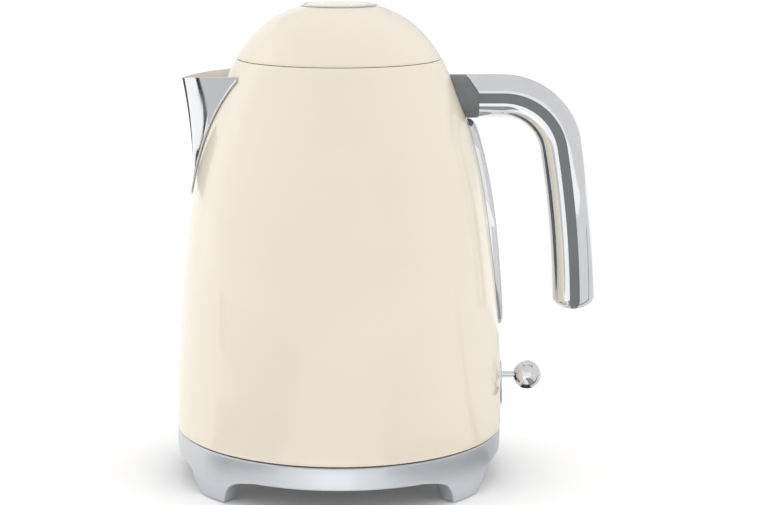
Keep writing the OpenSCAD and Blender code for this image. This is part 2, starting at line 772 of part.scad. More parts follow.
module lid_inner_cover() {
    color(dark) difference() {
        union() {
            difference() {
                rotate_extrude() polygon([[0, pan_z], [pan_r, pan_z], [pan_r, flange_low],
                    [skin_r(flange_low, lid_wall + fit), flange_low],
                    [skin_r(flange_low + flange_t, lid_wall + fit), flange_low + flange_t],
                    [pan_r - pan_wall, flange_low + flange_t], [pan_r - pan_wall, pan_top], [0, pan_top]]);
                translate([pan_back_x, -beyond / 2, pan_z - 1]) cube([beyond, beyond, lid_z - pan_z + 10]);
            }
            intersection() {
                translate([pan_back_x - pan_wall, -beyond / 2, pan_z])
                    cube([pan_wall, beyond, flange_low + flange_t - pan_z]);
                cylinder(r = pan_r - 0.01, h = 2 * lid_z);
            }
            // Cradle that carries the latch
            difference() {
                translate([-cradle_x, -8, pan_top - 0.5]) cube([7, 16, bolt_low + bolt_t - pan_top + 0.5]);
                translate([-cradle_x - 2, -latch_w / 2 - 0.25, bolt_low - 0.1]) cube([12, latch_w + 0.5, 6]);
            }
            // Bridge and tube that guide the button's stem
            for (side = [-1, 1])
                translate([-2.5, side * 8 - 1.5, pan_top - 0.5]) cube([5, 3, guide_z + 2.5 - pan_top]);
            translate([-4.5, -9.5, guide_z]) cube([9, 19, 2]);
            translate([0, 0, guide_z]) cylinder(r = stem_r + 1.6, h = guide_top - guide_z);
            translate([0, 0, guide_top - 1.5]) cylinder(r = stem_r + 5, h = 1.5);
        }
        translate([0, 0, guide_z - 5]) cylinder(r = stem_r + fit, h = 20);
        latch_gate();
    }
}

gasket_r = pan_r + 0.6;

module lid_gasket() {
    color(black) difference() {
        rotate_extrude() polygon([[pan_r + fit, pan_z + 0.6], [gasket_r, pan_z + 1.4], [gasket_r, pan_z + 2.4],
            [pan_r + fit, pan_z + 2.9]]);
        translate([pan_back_x - 16, -beyond / 2, pan_z - 1]) cube([beyond, beyond, 10]);
        latch_gate();
    }
}

arm_low = hinge_z - barrel_r;
arm_top = pan_z - 0.1;
arm_foot_x = pan_back_x - 12;

module lid_hinge_arms() {
    color(steel) difference() {
        union() {
            for (side = [-1, 1])
                translate([hinge_x, side * (arm_y + arm_t / 2), hinge_z])
                    rotate([90, 0, 0]) cylinder(r = barrel_r, h = arm_t, center = true);
            side_pair([[hinge_x, arm_low], [hinge_x, hinge_z + barrel_r - 0.02], [hinge_x - 8, arm_top],
                [arm_foot_x, arm_top], [arm_foot_x, arm_top - 2], [hinge_x - 12, arm_top - 2]], arm_y, arm_t);
            translate([arm_foot_x, -arm_y - arm_t, arm_top - 2]) cube([9, 2 * (arm_y + arm_t), 2]);
        }
        cross_bar(hinge_x, hinge_z, hinge_pin_d / 2 + pin_fit, beyond);
    }
}

module lid_hinge_pin() {
    color(steel) cross_bar(hinge_x, hinge_z, hinge_pin_d / 2, 2 * (lug_y + lug_t));
}

coil_sides = 6;
coil_steps = 12;

// Points of a coil about the Z axis, round wire w across, n turns of radius r rising h
function coil_rings(r, w, n, h) =
    [for (i = [0 : n * coil_steps]) let (a = i * 360 / coil_steps, z = h * i / (n * coil_steps))
        [for (k = [0 : coil_sides - 1]) let (b = -k * 360 / coil_sides)
            [(r + w / 2 * cos(b)) * cos(a), (r + w / 2 * cos(b)) * sin(a), z + w / 2 * sin(b)]]];

// Torsion spring on the hinge pin, between the two arms
module lid_spring() {
    span = 2 * arm_y - spring_wire - 1;
    color(steel) translate([hinge_x, span / 2, hinge_z]) rotate([90, 0, 0])
        ring_solid(coil_rings(hinge_pin_d / 2 + spring_wire / 2 + 0.25, spring_wire, 5, span));
}

// --- Lid button and latch ---

module lid_button() {
    under = button_top - 4.2;
    stem_low = pan_top + button_travel + 0.2;
    cam = [[0, stem_low], [stem_r + cam_rate * (stem_low - cam_low), stem_low],
        [stem_r + cam_rate * (cam_high - cam_low), cam_high], [0, cam_high]];
    color(cream) union() {
        rotate_extrude() polygon([[0, under], [button_r, under], [button_r, button_top - 1.6],
            [button_r - 0.8, button_top - 0.9], [button_r * 0.7, button_top - 0.35],
            [button_r * 0.35, button_top - 0.08], [0, button_top]]);
        translate([0, 0, stem_low]) cylinder(r = stem_r, h = under - stem_low + 0.5);
        side_plate(cam, 5);
    }
}

module button_ring() {
    bore = button_r + 0.25;
    color(chrome) rotate_extrude() polygon([[bore, brim_z - 3], [lid_hole_r - fit, brim_z - 3],
        [lid_hole_r - fit, brim_z + fit],
        [ring_r, crown_z(ring_r) + fit], [ring_r - 0.2, crown_z(ring_r) + 0.8],
        [lid_hole_r, brim_z + 1], [bore + 0.2, brim_z + 0.9]]);
}

module button_spring() {
    low = guide_top + 0.8;
    color(steel) translate([0, 0, low])
        ring_solid(coil_rings(stem_r + 2.6, 1.2, 3, button_top - 4.2 - 0.8 - low));
}

// Bolt with a nose that drops into the neck ring and a window round the button's stem
module latch_bolt() {
    half = latch_w / 2;
    bolt_top = bolt_low + bolt_t;
    rear_low = stem_r + cam_rate * (bolt_low - cam_low) + 0.15;
    rear_high = stem_r + cam_rate * (bolt_top - cam_low) + 0.15;
    front_x = skin_x(bolt_top, half, lid_wall + 0.5);
    window_x = -stem_r - button_travel * cam_rate - 0.6;
    color(steel) union() {
        side_plate([[-latch_reach, nose_low], [-latch_reach + 2.4, nose_low], [-latch_reach + 2.4, bolt_top],
            [-front_x, bolt_top], [-latch_reach, bolt_low + 0.3]], latch_w);
        translate([-latch_reach + 2.3, -half, bolt_low]) cube([window_x + latch_reach - 2.3, latch_w, bolt_t]);
        side_pair([[window_x - 0.1, bolt_low], [rear_high + 4, bolt_low], [rear_high + 4, bolt_top],
            [window_x - 0.1, bolt_top]], half - 0.3, 1.8);
        side_plate([[rear_low, bolt_low], [rear_high + 4, bolt_low], [rear_high + 4, bolt_top],
            [rear_high, bolt_top]], latch_w + 3);
    }
}

// --- Heated floor, element and control ---

skirt_low = floor_z - 7;

steam_rise = steam_head - steam_foot;

// Where the steam tube passes the heated floor
steam_mouth = steam_foot + steam_rise * (floor_z - floor_t / 2 - steam_foot[2]) / steam_rise[2];

module heater_plate() {
    inset = wall + seal_t + 2 * fit;
    outer = [for (z = heights(skirt_low, floor_z)) [skin_r(z, inset), z]];
    color(steel) difference() {
        rotate_extrude() polygon(concat([[0, floor_z - floor_t],
            [skin_r(floor_z, inset) - floor_t, floor_z - floor_t],
            [skin_r(skirt_low, inset) - floor_t, skirt_low]], outer, [[0, floor_z]]));
        translate([steam_mouth[0], steam_mouth[1], skirt_low])
            cylinder(r = steam_d / 2 + 0.7, h = 2 * (floor_z - skirt_low));
    }
}

module plate_seal() {
    color(black) skin_layer(skirt_low, floor_z, wall + fit, wall + fit + seal_t);
}

module heat_spreader() {
    color(steel) translate([0, 0, floor_z - floor_t - spreader_t]) cylinder(r = spreader_r, h = spreader_t);
}

element_z = floor_z - floor_t - spreader_t - element_d / 2;
element_gap = 24;
tail_length = 11;

// Ring of sheathed heating tube with its two cold ends turned down
module heating_element() {
    color(dark) union() {
        translate([0, 0, element_z]) rotate([0, 0, 180 + element_gap])
            rotate_extrude(angle = 360 - 2 * element_gap) translate([element_r, 0]) circle(d = element_d);
        for (side = [-1, 1])
            rotate([0, 0, 180 + side * (element_gap + 7)]) translate([element_r, 0, element_z]) {
                translate([0, 0, -tail_length]) cylinder(d = element_d - 0.8, h = tail_length);
                translate([0, 0, -tail_length - 5]) cylinder(d = 2.4, h = 6);
            }
    }
}

socket_top = tower_top + 4.6;
control_z = socket_top + 0.3;
control_h = 9;
arm_z = control_z + 2;
ear_half = ear_gap / 2;

// Housing over the socket, with an arm to the lever's pivot
module thermostat_control() {
    color(black) difference() {
        union() {
            translate([0, 0, control_z]) cylinder(r = control_r, h = control_h);
            translate([0, 0, control_z]) cylinder(r = 15, h = floor_z - floor_t - spreader_t - control_z - 0.1);
            translate([10, -7, arm_z]) cube([lever_x - 16, 14, 6]);
            side_pair([[lever_x - 8, arm_z], [lever_x + 3, arm_z], [lever_x + 4.5, lever_z + 3],
                [lever_x - 2, lever_z + 4.5], [lever_x - 8, arm_z + 6]], ear_half, 3);
        }
        cross_bar(lever_x, lever_z, hinge_pin_d / 2 + pin_fit, beyond);
    }
}

// Snap disc on the side of the control's arm, under the steam tube
module bimetal_disc() {
    color(brass) translate([lever_x - 12, 7 + fit, arm_z + 3]) rotate([-90, 0, 0])
        rotate_extrude() polygon([[0, 1.4], [3, 1.1], [6, 0], [6, 0.5], [3, 1.6], [0, 1.9]]);
}

module steam_tube() {
    color(silver) difference() {
        bar(steam_foot, steam_head, steam_d / 2);
        bar(steam_foot - 0.01 * steam_rise, steam_head + 0.01 * steam_rise, steam_d / 2 - 1);
    }
}

// --- Underside of the jug ---

cover_low = jug_z + 0.4;
cover_top = cover_low + 2.4;
cover_rim_top = cover_low + 13.6;
recess_r = tower_r + 2;
screw_circle = (tower_r + ring_out_r) / 2;
rest_r = deck_in_r - 12.6;
screw_turns = [60, 180, 300];

module bottom_cover() {
    rim = heights(cover_low, cover_rim_top);
    color(black) difference() {
        union() {
            rotate_extrude() polygon(concat([[recess_r, cover_low]], [for (z = rim) [skin_r(z, wall + fit), z]],
                [[skin_r(cover_rim_top, wall + fit) - 1.8, cover_rim_top],
                 [skin_r(cover_low, wall + fit) - 1.8, cover_top],
                 [recess_r + 2, cover_top], [recess_r + 2, tower_top + 0.4], [recess_r, tower_top + 0.4]]));
            // Ring that rests on the base's deck
            rotate_extrude() translate([rest_r, deck_z + 0.1]) square([4, cover_low + 0.1 - deck_z]);
            for (a = screw_turns)
                rotate([0, 0, a]) translate([screw_circle, 0, cover_top - 0.2]) cylinder(r = 4.5, h = 10);
        }
        for (a = screw_turns)
            rotate([0, 0, a]) translate([screw_circle, 0, cover_low - 1]) {
                cylinder(r = 1.6, h = 20);
                cylinder(r = 3.3, h = 3);
            }
    }
}

module bottom_screws() {
    color(steel) for (a = screw_turns)
        rotate([0, 0, a]) translate([screw_circle, 0, cover_low + 2]) {
            translate([0, 0, -1.6]) cylinder(r = 3.1, h = 1.6);
            translate([0, 0, -0.1]) cylinder(r = 1.5, h = 11);
        }
}

contact_top = 28;
prong_low = contact_top + 0.3;
groove_floor = contact_top - 1.5;

// Disc with two ring prongs and a centre prong; every part of it is round about the jug's axis
module connector_socket() {
    color(brass) union() {
        difference() {
            translate([0, 0, tower_top + 0.7]) cylinder(r = socket_r, h = socket_top - tower_top - 0.7);
            translate([0, 0, tower_top + 2.6]) cylinder(r = socket_r - 2, h = 10);
        }
        for (r = contact_radii)
            rotate_extrude() translate([r - 0.5, prong_low]) square([1, tower_top + 1 - prong_low]);
        translate([0, 0, prong_low]) cylinder(r = 2, h = tower_top + 1 - prong_low);
    }
}

// --- Power base ---

under_z = ring_low + 0.4;
under_t = 2;
drum_low = pad_t + 2.9;
drum_t = 2.2;

foot_back_r = ring_out_r - foot_t - 1.6;
foot_turns = [for (side = [1, -1], end = [1, -1]) side * 90 + end * foot_angle];
foot_marks = [0, 0.3, 0.55, 0.7, 0.8, 0.9, 1];

// Side of a foot seen square-on: a small curve at the floor, a flare, then a hollow curve into the ring
function foot_side() =
    let (w = foot_w / 2, start = pad_rise + 2, rise = ring_low - start)
    concat([[w - 2, pad_rise], [w - 0.6, pad_rise + 0.6]],
        [for (u = foot_marks) [w + foot_flare * u + foot_sweep * pow(u, 7), start + rise * u]],
        [[w + foot_flare + foot_sweep, start + rise + 1]]);

// Solid of one foot, up to a lap inside the ring
module foot_block() {
    side = foot_side();
    lap = ring_low + 0.3;
    intersection() {
        rotate_extrude() polygon([[foot_back_r, pad_rise], [foot_back_r + foot_t - 1, pad_rise],
            [foot_back_r + foot_t, pad_rise + 1], [ring_out_r, pad_rise + 6.5], [ring_out_r, lap],
            [foot_back_r, lap]]);
        end_prism(concat(side, [for (k = [len(side) - 1 : -1 : 0]) [-side[k].x, side[k].y]]), 0, beyond);
    }
}

// Rubber pad of one foot, or its pocket when grown
module foot_pad(grow) {
    inset = 1.2 - grow;
    half = foot_w / 2 - 3 + grow;
    intersection() {
        rotate_extrude() translate([foot_back_r + inset, 0]) square([foot_t - 2 * inset, pad_t + grow]);
        translate([0, -half, -1]) cube([beyond, 2 * half, 5]);
    }
}

module base_shell() {
    ledge_z = deck_z - deck_t - fit;
    color(silver) difference() {
        union() {
            rotate_extrude() polygon([[deck_in_r, ring_low], [ring_out_r - 0.5, ring_low],
                [ring_out_r, ring_low + 0.6], [ring_out_r, ring_top - 1.2], [ring_out_r - 0.4, ring_top - 0.3],
                [ring_out_r - 1.2, ring_top], [deck_in_r, ring_top]]);
            for (a = foot_turns)
                rotate([0, 0, a]) foot_block();
            // Ledge that carries the deck
            rotate_extrude() polygon([[deck_in_r + 0.1, ledge_z - 3], [deck_in_r + 0.1, ledge_z],
                [deck_in_r - 2, ledge_z], [deck_in_r - 2, ledge_z - 1]]);
        }
        for (a = foot_turns)
            rotate([0, 0, a]) foot_pad(fit);
    }
}

module base_deck() {
    boss_z = under_z + under_t + fit;
    color(silver) difference() {
        union() {
            translate([0, 0, deck_z - deck_t]) cylinder(r = deck_in_r - fit, h = deck_t);
            for (a = screw_turns)
                rotate([0, 0, a]) translate([screw_circle, 0, boss_z])
                    cylinder(r = 4, h = deck_z - deck_t - boss_z + 0.2);
        }
        translate([0, 0, deck_z - 10]) cylinder(r = tower_r + fit, h = 20);
        for (a = screw_turns)
            rotate([0, 0, a]) translate([screw_circle, 0, boss_z - 1])
                cylinder(r = 1.6, h = deck_z - boss_z - 0.9);
    }
}

module connector_tower() {
    color(black) difference() {
        union() {
            translate([0, 0, deck_z - deck_t - 3]) cylinder(r = tower_r, h = tower_top - deck_z + deck_t + 3);
            translate([0, 0, deck_z - deck_t - 3]) cylinder(r = tower_r + 4, h = 3 - fit);
        }
        for (r = contact_radii)
            rotate_extrude() translate([r - groove_w / 2, groove_floor]) square([groove_w, 20]);
        translate([0, 0, groove_floor]) cylinder(r = 3.2, h = 20);
    }
}

module contact_rings() {
    color(brass) {
        for (r = contact_radii)
            rotate_extrude() translate([r - groove_w / 2 + fit, groove_floor])
                square([groove_w - 2 * fit, contact_top - groove_floor]);
        translate([0, 0, groove_floor]) cylinder(r = 3.2 - fit, h = contact_top - groove_floor);
    }
}

// Plate that closes the base round the drum
module base_underside() {
    color(black) difference() {
        translate([0, 0, under_z]) cylinder(r = deck_in_r - fit, h = under_t);
        translate([0, 0, under_z - 1]) cylinder(r = drum_r - drum_t - 1, h = 5);
        for (a = screw_turns)
            rotate([0, 0, a]) translate([screw_circle, 0, under_z - 1]) cylinder(r = 1.8, h = 5);
        rotate([0, 0, gland_turn]) translate([gland_x, 0, under_z - 1]) cylinder(r = 5 + fit, h = 5);
    }
}

// Drum and four hooks for the spare cord, under the closing plate
module cord_drum() {
    color(black) difference() {
        union() {
            translate([0, 0, drum_low]) cylinder(r = drum_r, h = under_z - fit - drum_low);
            intersection() {
                translate([0, 0, drum_low]) cylinder(r = drum_r + 12, h = 2);
                for (a = [0, 90])
                    rotate([0, 0, a]) translate([0, 0, drum_low]) cube([beyond, 18, 5], center = true);
            }
        }
        translate([0, 0, drum_low + drum_t]) cylinder(r = drum_r - drum_t, h = under_z);
    }
}

module base_screws() {
    color(steel) for (a = screw_turns)
        rotate([0, 0, a]) translate([screw_circle, 0, under_z]) {
            translate([0, 0, -1.5]) cylinder(r = 3.1, h = 1.5 - fit);
            translate([0, 0, -0.5]) cylinder(r = 1.5, h = 8);
        }
}

module foot_pads() {
    color(black) for (a = foot_turns)
        rotate([0, 0, a]) foot_pad(0);
}

// Bush that the cord would leave through, in the closing plate
module cord_gland() {
    color(black) rotate([0, 0, gland_turn]) translate([gland_x, 0, 0]) difference() {
        union() {
            translate([0, 0, under_z - 2]) cylinder(r = 5, h = under_t + 4);
            translate([0, 0, under_z - 3]) cylinder(r = 7, h = 3 - fit);
            translate([0, 0, under_z + under_t + fit]) cylinder(r = 7, h = 1.8);
        }
        translate([0, 0, under_z - 5]) cylinder(r = 3.4, h = 20);
    }
}

at_axis() body_shell();
at_axis() neck_ring();
at_axis() spout();
at_axis() spout_trim();
at_axis() filter_frame();
at_axis() filter_mesh();
at_axis() handle_frame();
at_axis() handle_outer_cover();
at_axis() handle_inner_cover();
at_axis() handle_screws();
at_axis() gauge_bezel();
at_axis() gauge_window();
at_axis() gauge_gasket();
at_axis() switch_plate();
at_axis() switch_lever();
at_axis() lever_knob();
at_axis() lever_pivot_pin();
at_axis() lid_shell();
at_axis() lid_inner_cover();
at_axis() lid_gasket();
at_axis() lid_hinge_arms();
at_axis() lid_hinge_pin();
at_axis() lid_spring();
at_axis() lid_button();
at_axis() button_ring();
at_axis() button_spring();
at_axis() latch_bolt();
at_axis() heater_plate();
at_axis() plate_seal();
at_axis() heat_spreader();
at_axis() heating_element();
at_axis() thermostat_control();
at_axis() bimetal_disc();
at_axis() steam_tube();
at_axis() bottom_cover();
at_axis() bottom_screws();
at_axis() connector_socket();
at_axis() base_shell();
at_axis() base_deck();
at_axis() connector_tower();
at_axis() contact_rings();
at_axis() base_underside();
at_axis() cord_drum();
at_axis() base_screws();
at_axis() foot_pads();
at_axis() cord_gland();
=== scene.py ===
"""Looks of a domed electric kettle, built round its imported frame.

Every size here is in millimetres unless a name says otherwise, measured from the jug's own vertical axis:
the spout points towards -X, the handle towards +X, and the worktop is at z = 0.
"""

import logging
from dataclasses import dataclass, field
from enum import Enum
from math import acos, asin, atan2, ceil, copysign, cos, hypot, pi, radians, sin, sqrt

import bmesh
import bpy
import numpy as np
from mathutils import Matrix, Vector


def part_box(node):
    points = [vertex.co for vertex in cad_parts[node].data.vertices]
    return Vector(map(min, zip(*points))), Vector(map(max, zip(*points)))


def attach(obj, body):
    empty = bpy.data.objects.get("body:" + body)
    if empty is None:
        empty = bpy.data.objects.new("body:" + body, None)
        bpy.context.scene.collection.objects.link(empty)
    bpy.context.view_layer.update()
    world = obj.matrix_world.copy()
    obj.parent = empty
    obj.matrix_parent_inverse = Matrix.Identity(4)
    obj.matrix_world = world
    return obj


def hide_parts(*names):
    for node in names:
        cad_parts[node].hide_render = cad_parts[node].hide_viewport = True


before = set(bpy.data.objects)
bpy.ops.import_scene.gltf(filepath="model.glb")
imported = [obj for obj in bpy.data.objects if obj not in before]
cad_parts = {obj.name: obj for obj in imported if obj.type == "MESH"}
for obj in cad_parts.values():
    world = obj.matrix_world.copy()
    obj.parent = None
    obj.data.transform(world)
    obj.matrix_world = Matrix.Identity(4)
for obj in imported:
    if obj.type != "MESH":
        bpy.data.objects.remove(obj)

LOG = logging.getLogger("kettle")
MM = 0.001
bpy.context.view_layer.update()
JUG_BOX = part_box("body_shell")
AXIS_X = (JUG_BOX[0].x + JUG_BOX[1].x) / 2 / MM

Point = tuple[float, float, float]
Outline = list[tuple[float, float]]
Rings = list[list[Point]]
Piece = bpy.types.Object
Tree = bpy.types.NodeTree
Socket = bpy.types.NodeSocket

# Range that a noise pattern hardly leaves.
NOISE_LOW, NOISE_HIGH = 0.3, 0.7
# Size and detail of the lumps by which a finish drifts between its two colours.
DRIFT_MM, DRIFT_DETAIL = 38.0, 3.0
# Least turn of a crisp edge in degrees, on most pieces and on CAD nodes.
CRISP, CRISP_CAD = 50.0, 32.0
# Faces round the jug and the lid.
FINE_STEPS = 256
# Height over which the edges of the jug and the lid are rounded.
LIP = 0.35
# Half-width, low and high of the slot that the lever passes through.
LEVER_SLOT = (2.35, 42.9, 53.85)


def linear(hex_colour: str) -> tuple[float, float, float, float]:
    """Turns an sRGB hex colour into the linear colour that shaders work in.

    Args:
        hex_colour: Six hex digits after a hash sign.

    Returns:
        Linear red, green, blue and an alpha of 1.
    """
    channels = [int(hex_colour[i : i + 2], 16) / 255 for i in (1, 3, 5)]
    r, g, b = [c / 12.92 if c <= 0.04045 else ((c + 0.055) / 1.055) ** 2.4 for c in channels]
    return (r, g, b, 1.0)


def feed(node: bpy.types.Node, **links: object) -> bpy.types.Node:
    """Feeds a node's inputs.

    Args:
        node: The node.
        **links: Inputs by name with underscores for spaces, or by number after an i, each with
            a socket to link or a plain value.

    Returns:
        The same node.
    """
    for name, value in links.items():
        key = int(name[1:]) if name[0] == "i" and name[1:].isdigit() else name.replace("_", " ")
        if isinstance(value, Socket):
            node.id_data.links.new(value, node.inputs[key])
        else:
            node.inputs[key].default_value = value
    return node


def add_node(tree: Tree, kind: str, settings: dict | None = None, **links: object) -> bpy.types.Node:
    """Adds one shader node with its settings and what feeds it.

    Args:
        tree: Node tree that the node goes into.
        kind: Blender's name of the node type, less its ShaderNode.
        settings: Attributes of the node, by name.
        **links: Inputs, as in feed.

    Returns:
        The new node.
    """
    node = tree.nodes.new("ShaderNode" + kind)
    for name, value in (settings or {}).items():
        setattr(node, name, value)
    return feed(node, **links)


def new_material(name: str) -> tuple[bpy.types.Material, Tree, bpy.types.Node]:
    """Makes a material with nodes.

    Args:
        name: Name of the material.

    Returns:
        The material, its node tree and its shader.
    """
    made = bpy.data.materials.new(name)
    made.use_nodes = True
    return made, made.node_tree, made.node_tree.nodes["Principled BSDF"]


def noise(tree: Tree, size_mm: float, detail: float = 2.0, stretch: Point = (1, 1, 1)) -> Socket:
    """Adds a noise pattern whose lumps have a real size.

    Args:
        tree: Node tree that the pattern goes into.
        size_mm: Size of one lump in millimetres.
        detail: How many finer layers the noise has.
        stretch: How many times longer the lumps are along each axis.

    Returns:
        The pattern's value, about 0 to 1.
    """
    place = add_node(tree, "TexCoord").outputs["Object"]
    scale = tuple(1 / s for s in stretch)
    scaled = add_node(tree, "Mapping", Vector=place, Scale=scale).outputs["Vector"]
    lumps = {"Vector": scaled, "Scale": 1 / (size_mm * MM), "Detail": detail}
    return add_node(tree, "TexNoise", **lumps).outputs["Fac"]


def between(tree: Tree, value: Socket, low: float, high: float) -> Socket:
    """Maps a noise pattern onto a range from low to high."""
    ends = {"From_Min": NOISE_LOW, "From_Max": NOISE_HIGH, "To_Min": low, "To_Max": high}
    return add_node(tree, "MapRange", {"clamp": True}, Value=value, **ends).outputs["Result"]


@dataclass(frozen=True)
class Finish:
    """A solid material with a fine surface pattern.

    Attributes:
        name: What the material is and how its surface was made.
        colour: sRGB hex colour.
        shade: A second colour that the pattern drifts towards.
        metallic: 1 for bare metal, less for metallic paint, 0 for the rest.
        rough: Lowest and highest roughness over the surface.
        grain: Size of the surface's lumps.
        bump: Height of the lumps.
        stretch: How many times longer the lumps are along each axis.
        coat: Strength of a clear coat.
        coat_rough: Roughness of the clear coat.
        clear: Share of light that passes through.
        ior: Index of refraction of what isn't metal.
    """

    name: str
    colour: str
    shade: str
    metallic: float = 0.0
    rough: tuple[float, float] = (0.4, 0.5)
    grain: float = 1.0
    bump: float = 0.004
    stretch: Point = (1, 1, 1)
    coat: float = 0.0
    coat_rough: float = 0.03
    clear: float = 0.0
    ior: float = 1.5

    def material(self) -> bpy.types.Material:
        """Builds the material once and hands the same one back later.

        Returns:
            The material.
        """
        if self.name in bpy.data.materials:
            return bpy.data.materials[self.name]
        made, tree, shader = new_material(self.name)
        drift = between(tree, noise(tree, DRIFT_MM, DRIFT_DETAIL), 0.0, 1.0)
        tint = add_node(tree, "Mix", {"data_type": "RGBA"}, i0=drift)
        feed(tint, i6=linear(self.colour), i7=linear(self.shade))
        fine = noise(tree, self.grain, stretch=self.stretch)
        bump = add_node(tree, "Bump", Strength=1.0, Distance=self.bump * MM, Height=fine)
        feed(
            shader, Base_Color=tint.outputs[2], Roughness=between(tree, fine, *self.rough),
            Normal=bump.outputs["Normal"], Metallic=self.metallic, Coat_Weight=self.coat,
            Coat_Roughness=self.coat_rough, Transmission_Weight=self.clear,
        )
        if not self.metallic:
            feed(shader, IOR=self.ior)
        return made


class Slot(Enum):
    """The record's material slots: each one's name there, and the finish that dresses it."""

    # Vitreous-look enamel sprayed on steel: a deep gloss with a trace of orange peel.
    CREAM = "cream_enamel", Finish(
        "cream_enamel_sprayed", "#EEE4D3", "#ECE2D1", rough=(0.16, 0.2), grain=2.4, coat=0.5
    )
    # Moulded ABS in the same cream, a little less deep than the enamel.
    BUTTON = "button_cream", Finish(
        "cream_abs_moulded", "#EDE3D1", "#EBE1CE", rough=(0.22, 0.28), grain=1.6, bump=0.003, coat=0.2
    )
    # Bright chrome plate: mirror-like, with faint polishing haze that breaks up its reflections.
    CHROME = "chrome_trim", Finish(
        "chrome_plated_polished", "#E6E7E8", "#E1E2E4", metallic=1, rough=(0.03, 0.06), grain=9.0
    )
    # Grey glass-filled nylon, satin from its spark-eroded mould.
    GREY = "grey_plastic", Finish(
        "grey_nylon_moulded", "#75797B", "#6E7274", rough=(0.38, 0.5), grain=0.5, bump=0.012
    )
    # Black polypropylene with a fine matt grain, drawn coarser than life so that it shows.
    BLACK = "black_plastic", Finish(
        "black_polypropylene_moulded", "#26282A", "#1F2122", rough=(0.45, 0.6), grain=0.6, bump=0.02
    )
    # Silicone: soft black, almost no gloss.
    SILICONE = "silicone", Finish(
        "black_silicone_moulded", "#1E1F20", "#2A2B2C", rough=(0.6, 0.75), grain=1.2, bump=0.01
    )
    # Stainless steel, brushed round the jug: streaks eight times longer than they are wide.
    STEEL = "stainless", Finish(
        "stainless_steel_brushed", "#B5B8BA", "#A9ACAF", metallic=1, rough=(0.2, 0.36), grain=0.7,
        stretch=(8, 8, 1),
    )
    # Cast aluminium, dull from the die.
    ALUMINIUM = "aluminium_disc", Finish(
        "aluminium_cast", "#B9BCBE", "#A6A9AB", metallic=1, rough=(0.4, 0.55), grain=1.4, bump=0.03
    )
    # Drawn sheath tube, grey from heat.
    SHEATH = "element_sheath", Finish(
        "element_sheath_drawn", "#6D6F71", "#57595C", metallic=1, rough=(0.35, 0.5), grain=1.2, bump=0.01
    )
    # Rolled brass contacts, bright where they rub.
    BRASS = "contact_brass", Finish(
        "brass_rolled", "#C9A866", "#B8955A", metallic=1, rough=(0.2, 0.32), grain=0.9, bump=0.006
    )
    # Snap disc rolled from two metals, with a brassy face.
    BIMETAL = "bimetal", Finish(
        "bimetal_rolled", "#BFA46E", "#AD9361", metallic=1, rough=(0.28, 0.4), grain=0.9, bump=0.006
    )
    # Silver paint over moulded plastic: metallic flakes under a satin lacquer.
    SILVER = "base_silver", Finish(
        "silver_lacquer_sprayed", "#CDD0D4", "#C7CACE", metallic=0.8, rough=(0.3, 0.38), grain=0.4,
        coat=0.25, coat_rough=0.2,
    )
    # Clear moulded copolyester of the water window, with a cool tint.
    CLEAR = "gauge_clear", Finish(
        "clear_copolyester_moulded", "#C9D5DA", "#C4D0D6", rough=(0.05, 0.08), grain=6.0, clear=0.85, ior=1.54
    )

    def __init__(self, label: str, finish: Finish) -> None:
        """Splits the value into the slot's name in the record and its finish."""
        self.label, self.finish = label, finish


def shade(mesh: bpy.types.Mesh, sharp: float) -> None:
    """Shades a mesh smooth, but for edges that turn more than this many degrees."""
    mesh.polygons.foreach_set("use_smooth", [True] * len(mesh.polygons))
    mesh.set_sharp_from_angle(angle=radians(sharp))


def full_turn(steps: int) -> list[float]:
    """Angles of so many equal steps round a full turn, in radians."""
    return [2 * pi * k / steps for k in range(steps)]


def make_piece(name: str, points: list[Point], faces: list[list[int]], sharp: float = CRISP) -> Piece:
    """Makes a smooth-shaded mesh object from points measured from the jug's axis.

    Args:
        name: Name of the piece.
        points: Its points.
        faces: Its faces as lists of point numbers.
        sharp: Least turn of a crisp edge.

    Returns:
        The new object.
    """
    mesh = bpy.data.meshes.new(name)
    mesh.from_pydata([((x + AXIS_X) * MM, y * MM, z * MM) for x, y, z in points], [], faces)
    shape = bmesh.new()
    shape.from_mesh(mesh)
    bmesh.ops.recalc_face_normals(shape, faces=shape.faces)
    shape.to_mesh(mesh)
    shape.free()
    shade(mesh, sharp)
    made = bpy.data.objects.new(name, mesh)
    bpy.context.scene.collection.objects.link(made)
    return made


def loft(name: str, rings: Rings, loop: bool = False, sharp: float = CRISP) -> Piece:
    """Joins closed rings of points into a solid.

    Args:
        name: Name of the piece.
        rings: Rings of equally many points.
        loop: Whether the last ring joins the first, and the ends aren't closed.
        sharp: Least turn of a crisp edge.

    Returns:
        The new object.
    """
    n, m = len(rings), len(rings[0])
    spans = n if loop else n - 1
    faces = [
        [i * m + k, (i + 1) % n * m + k, (i + 1) % n * m + (k + 1) % m, i * m + (k + 1) % m]
        for i in range(spans)
        for k in range(m)
    ]
    if not loop:
        faces += [list(range(m)), [(n - 1) * m + k for k in reversed(range(m))]]
    return make_piece(name, [p for ring in rings for p in ring], faces, sharp)


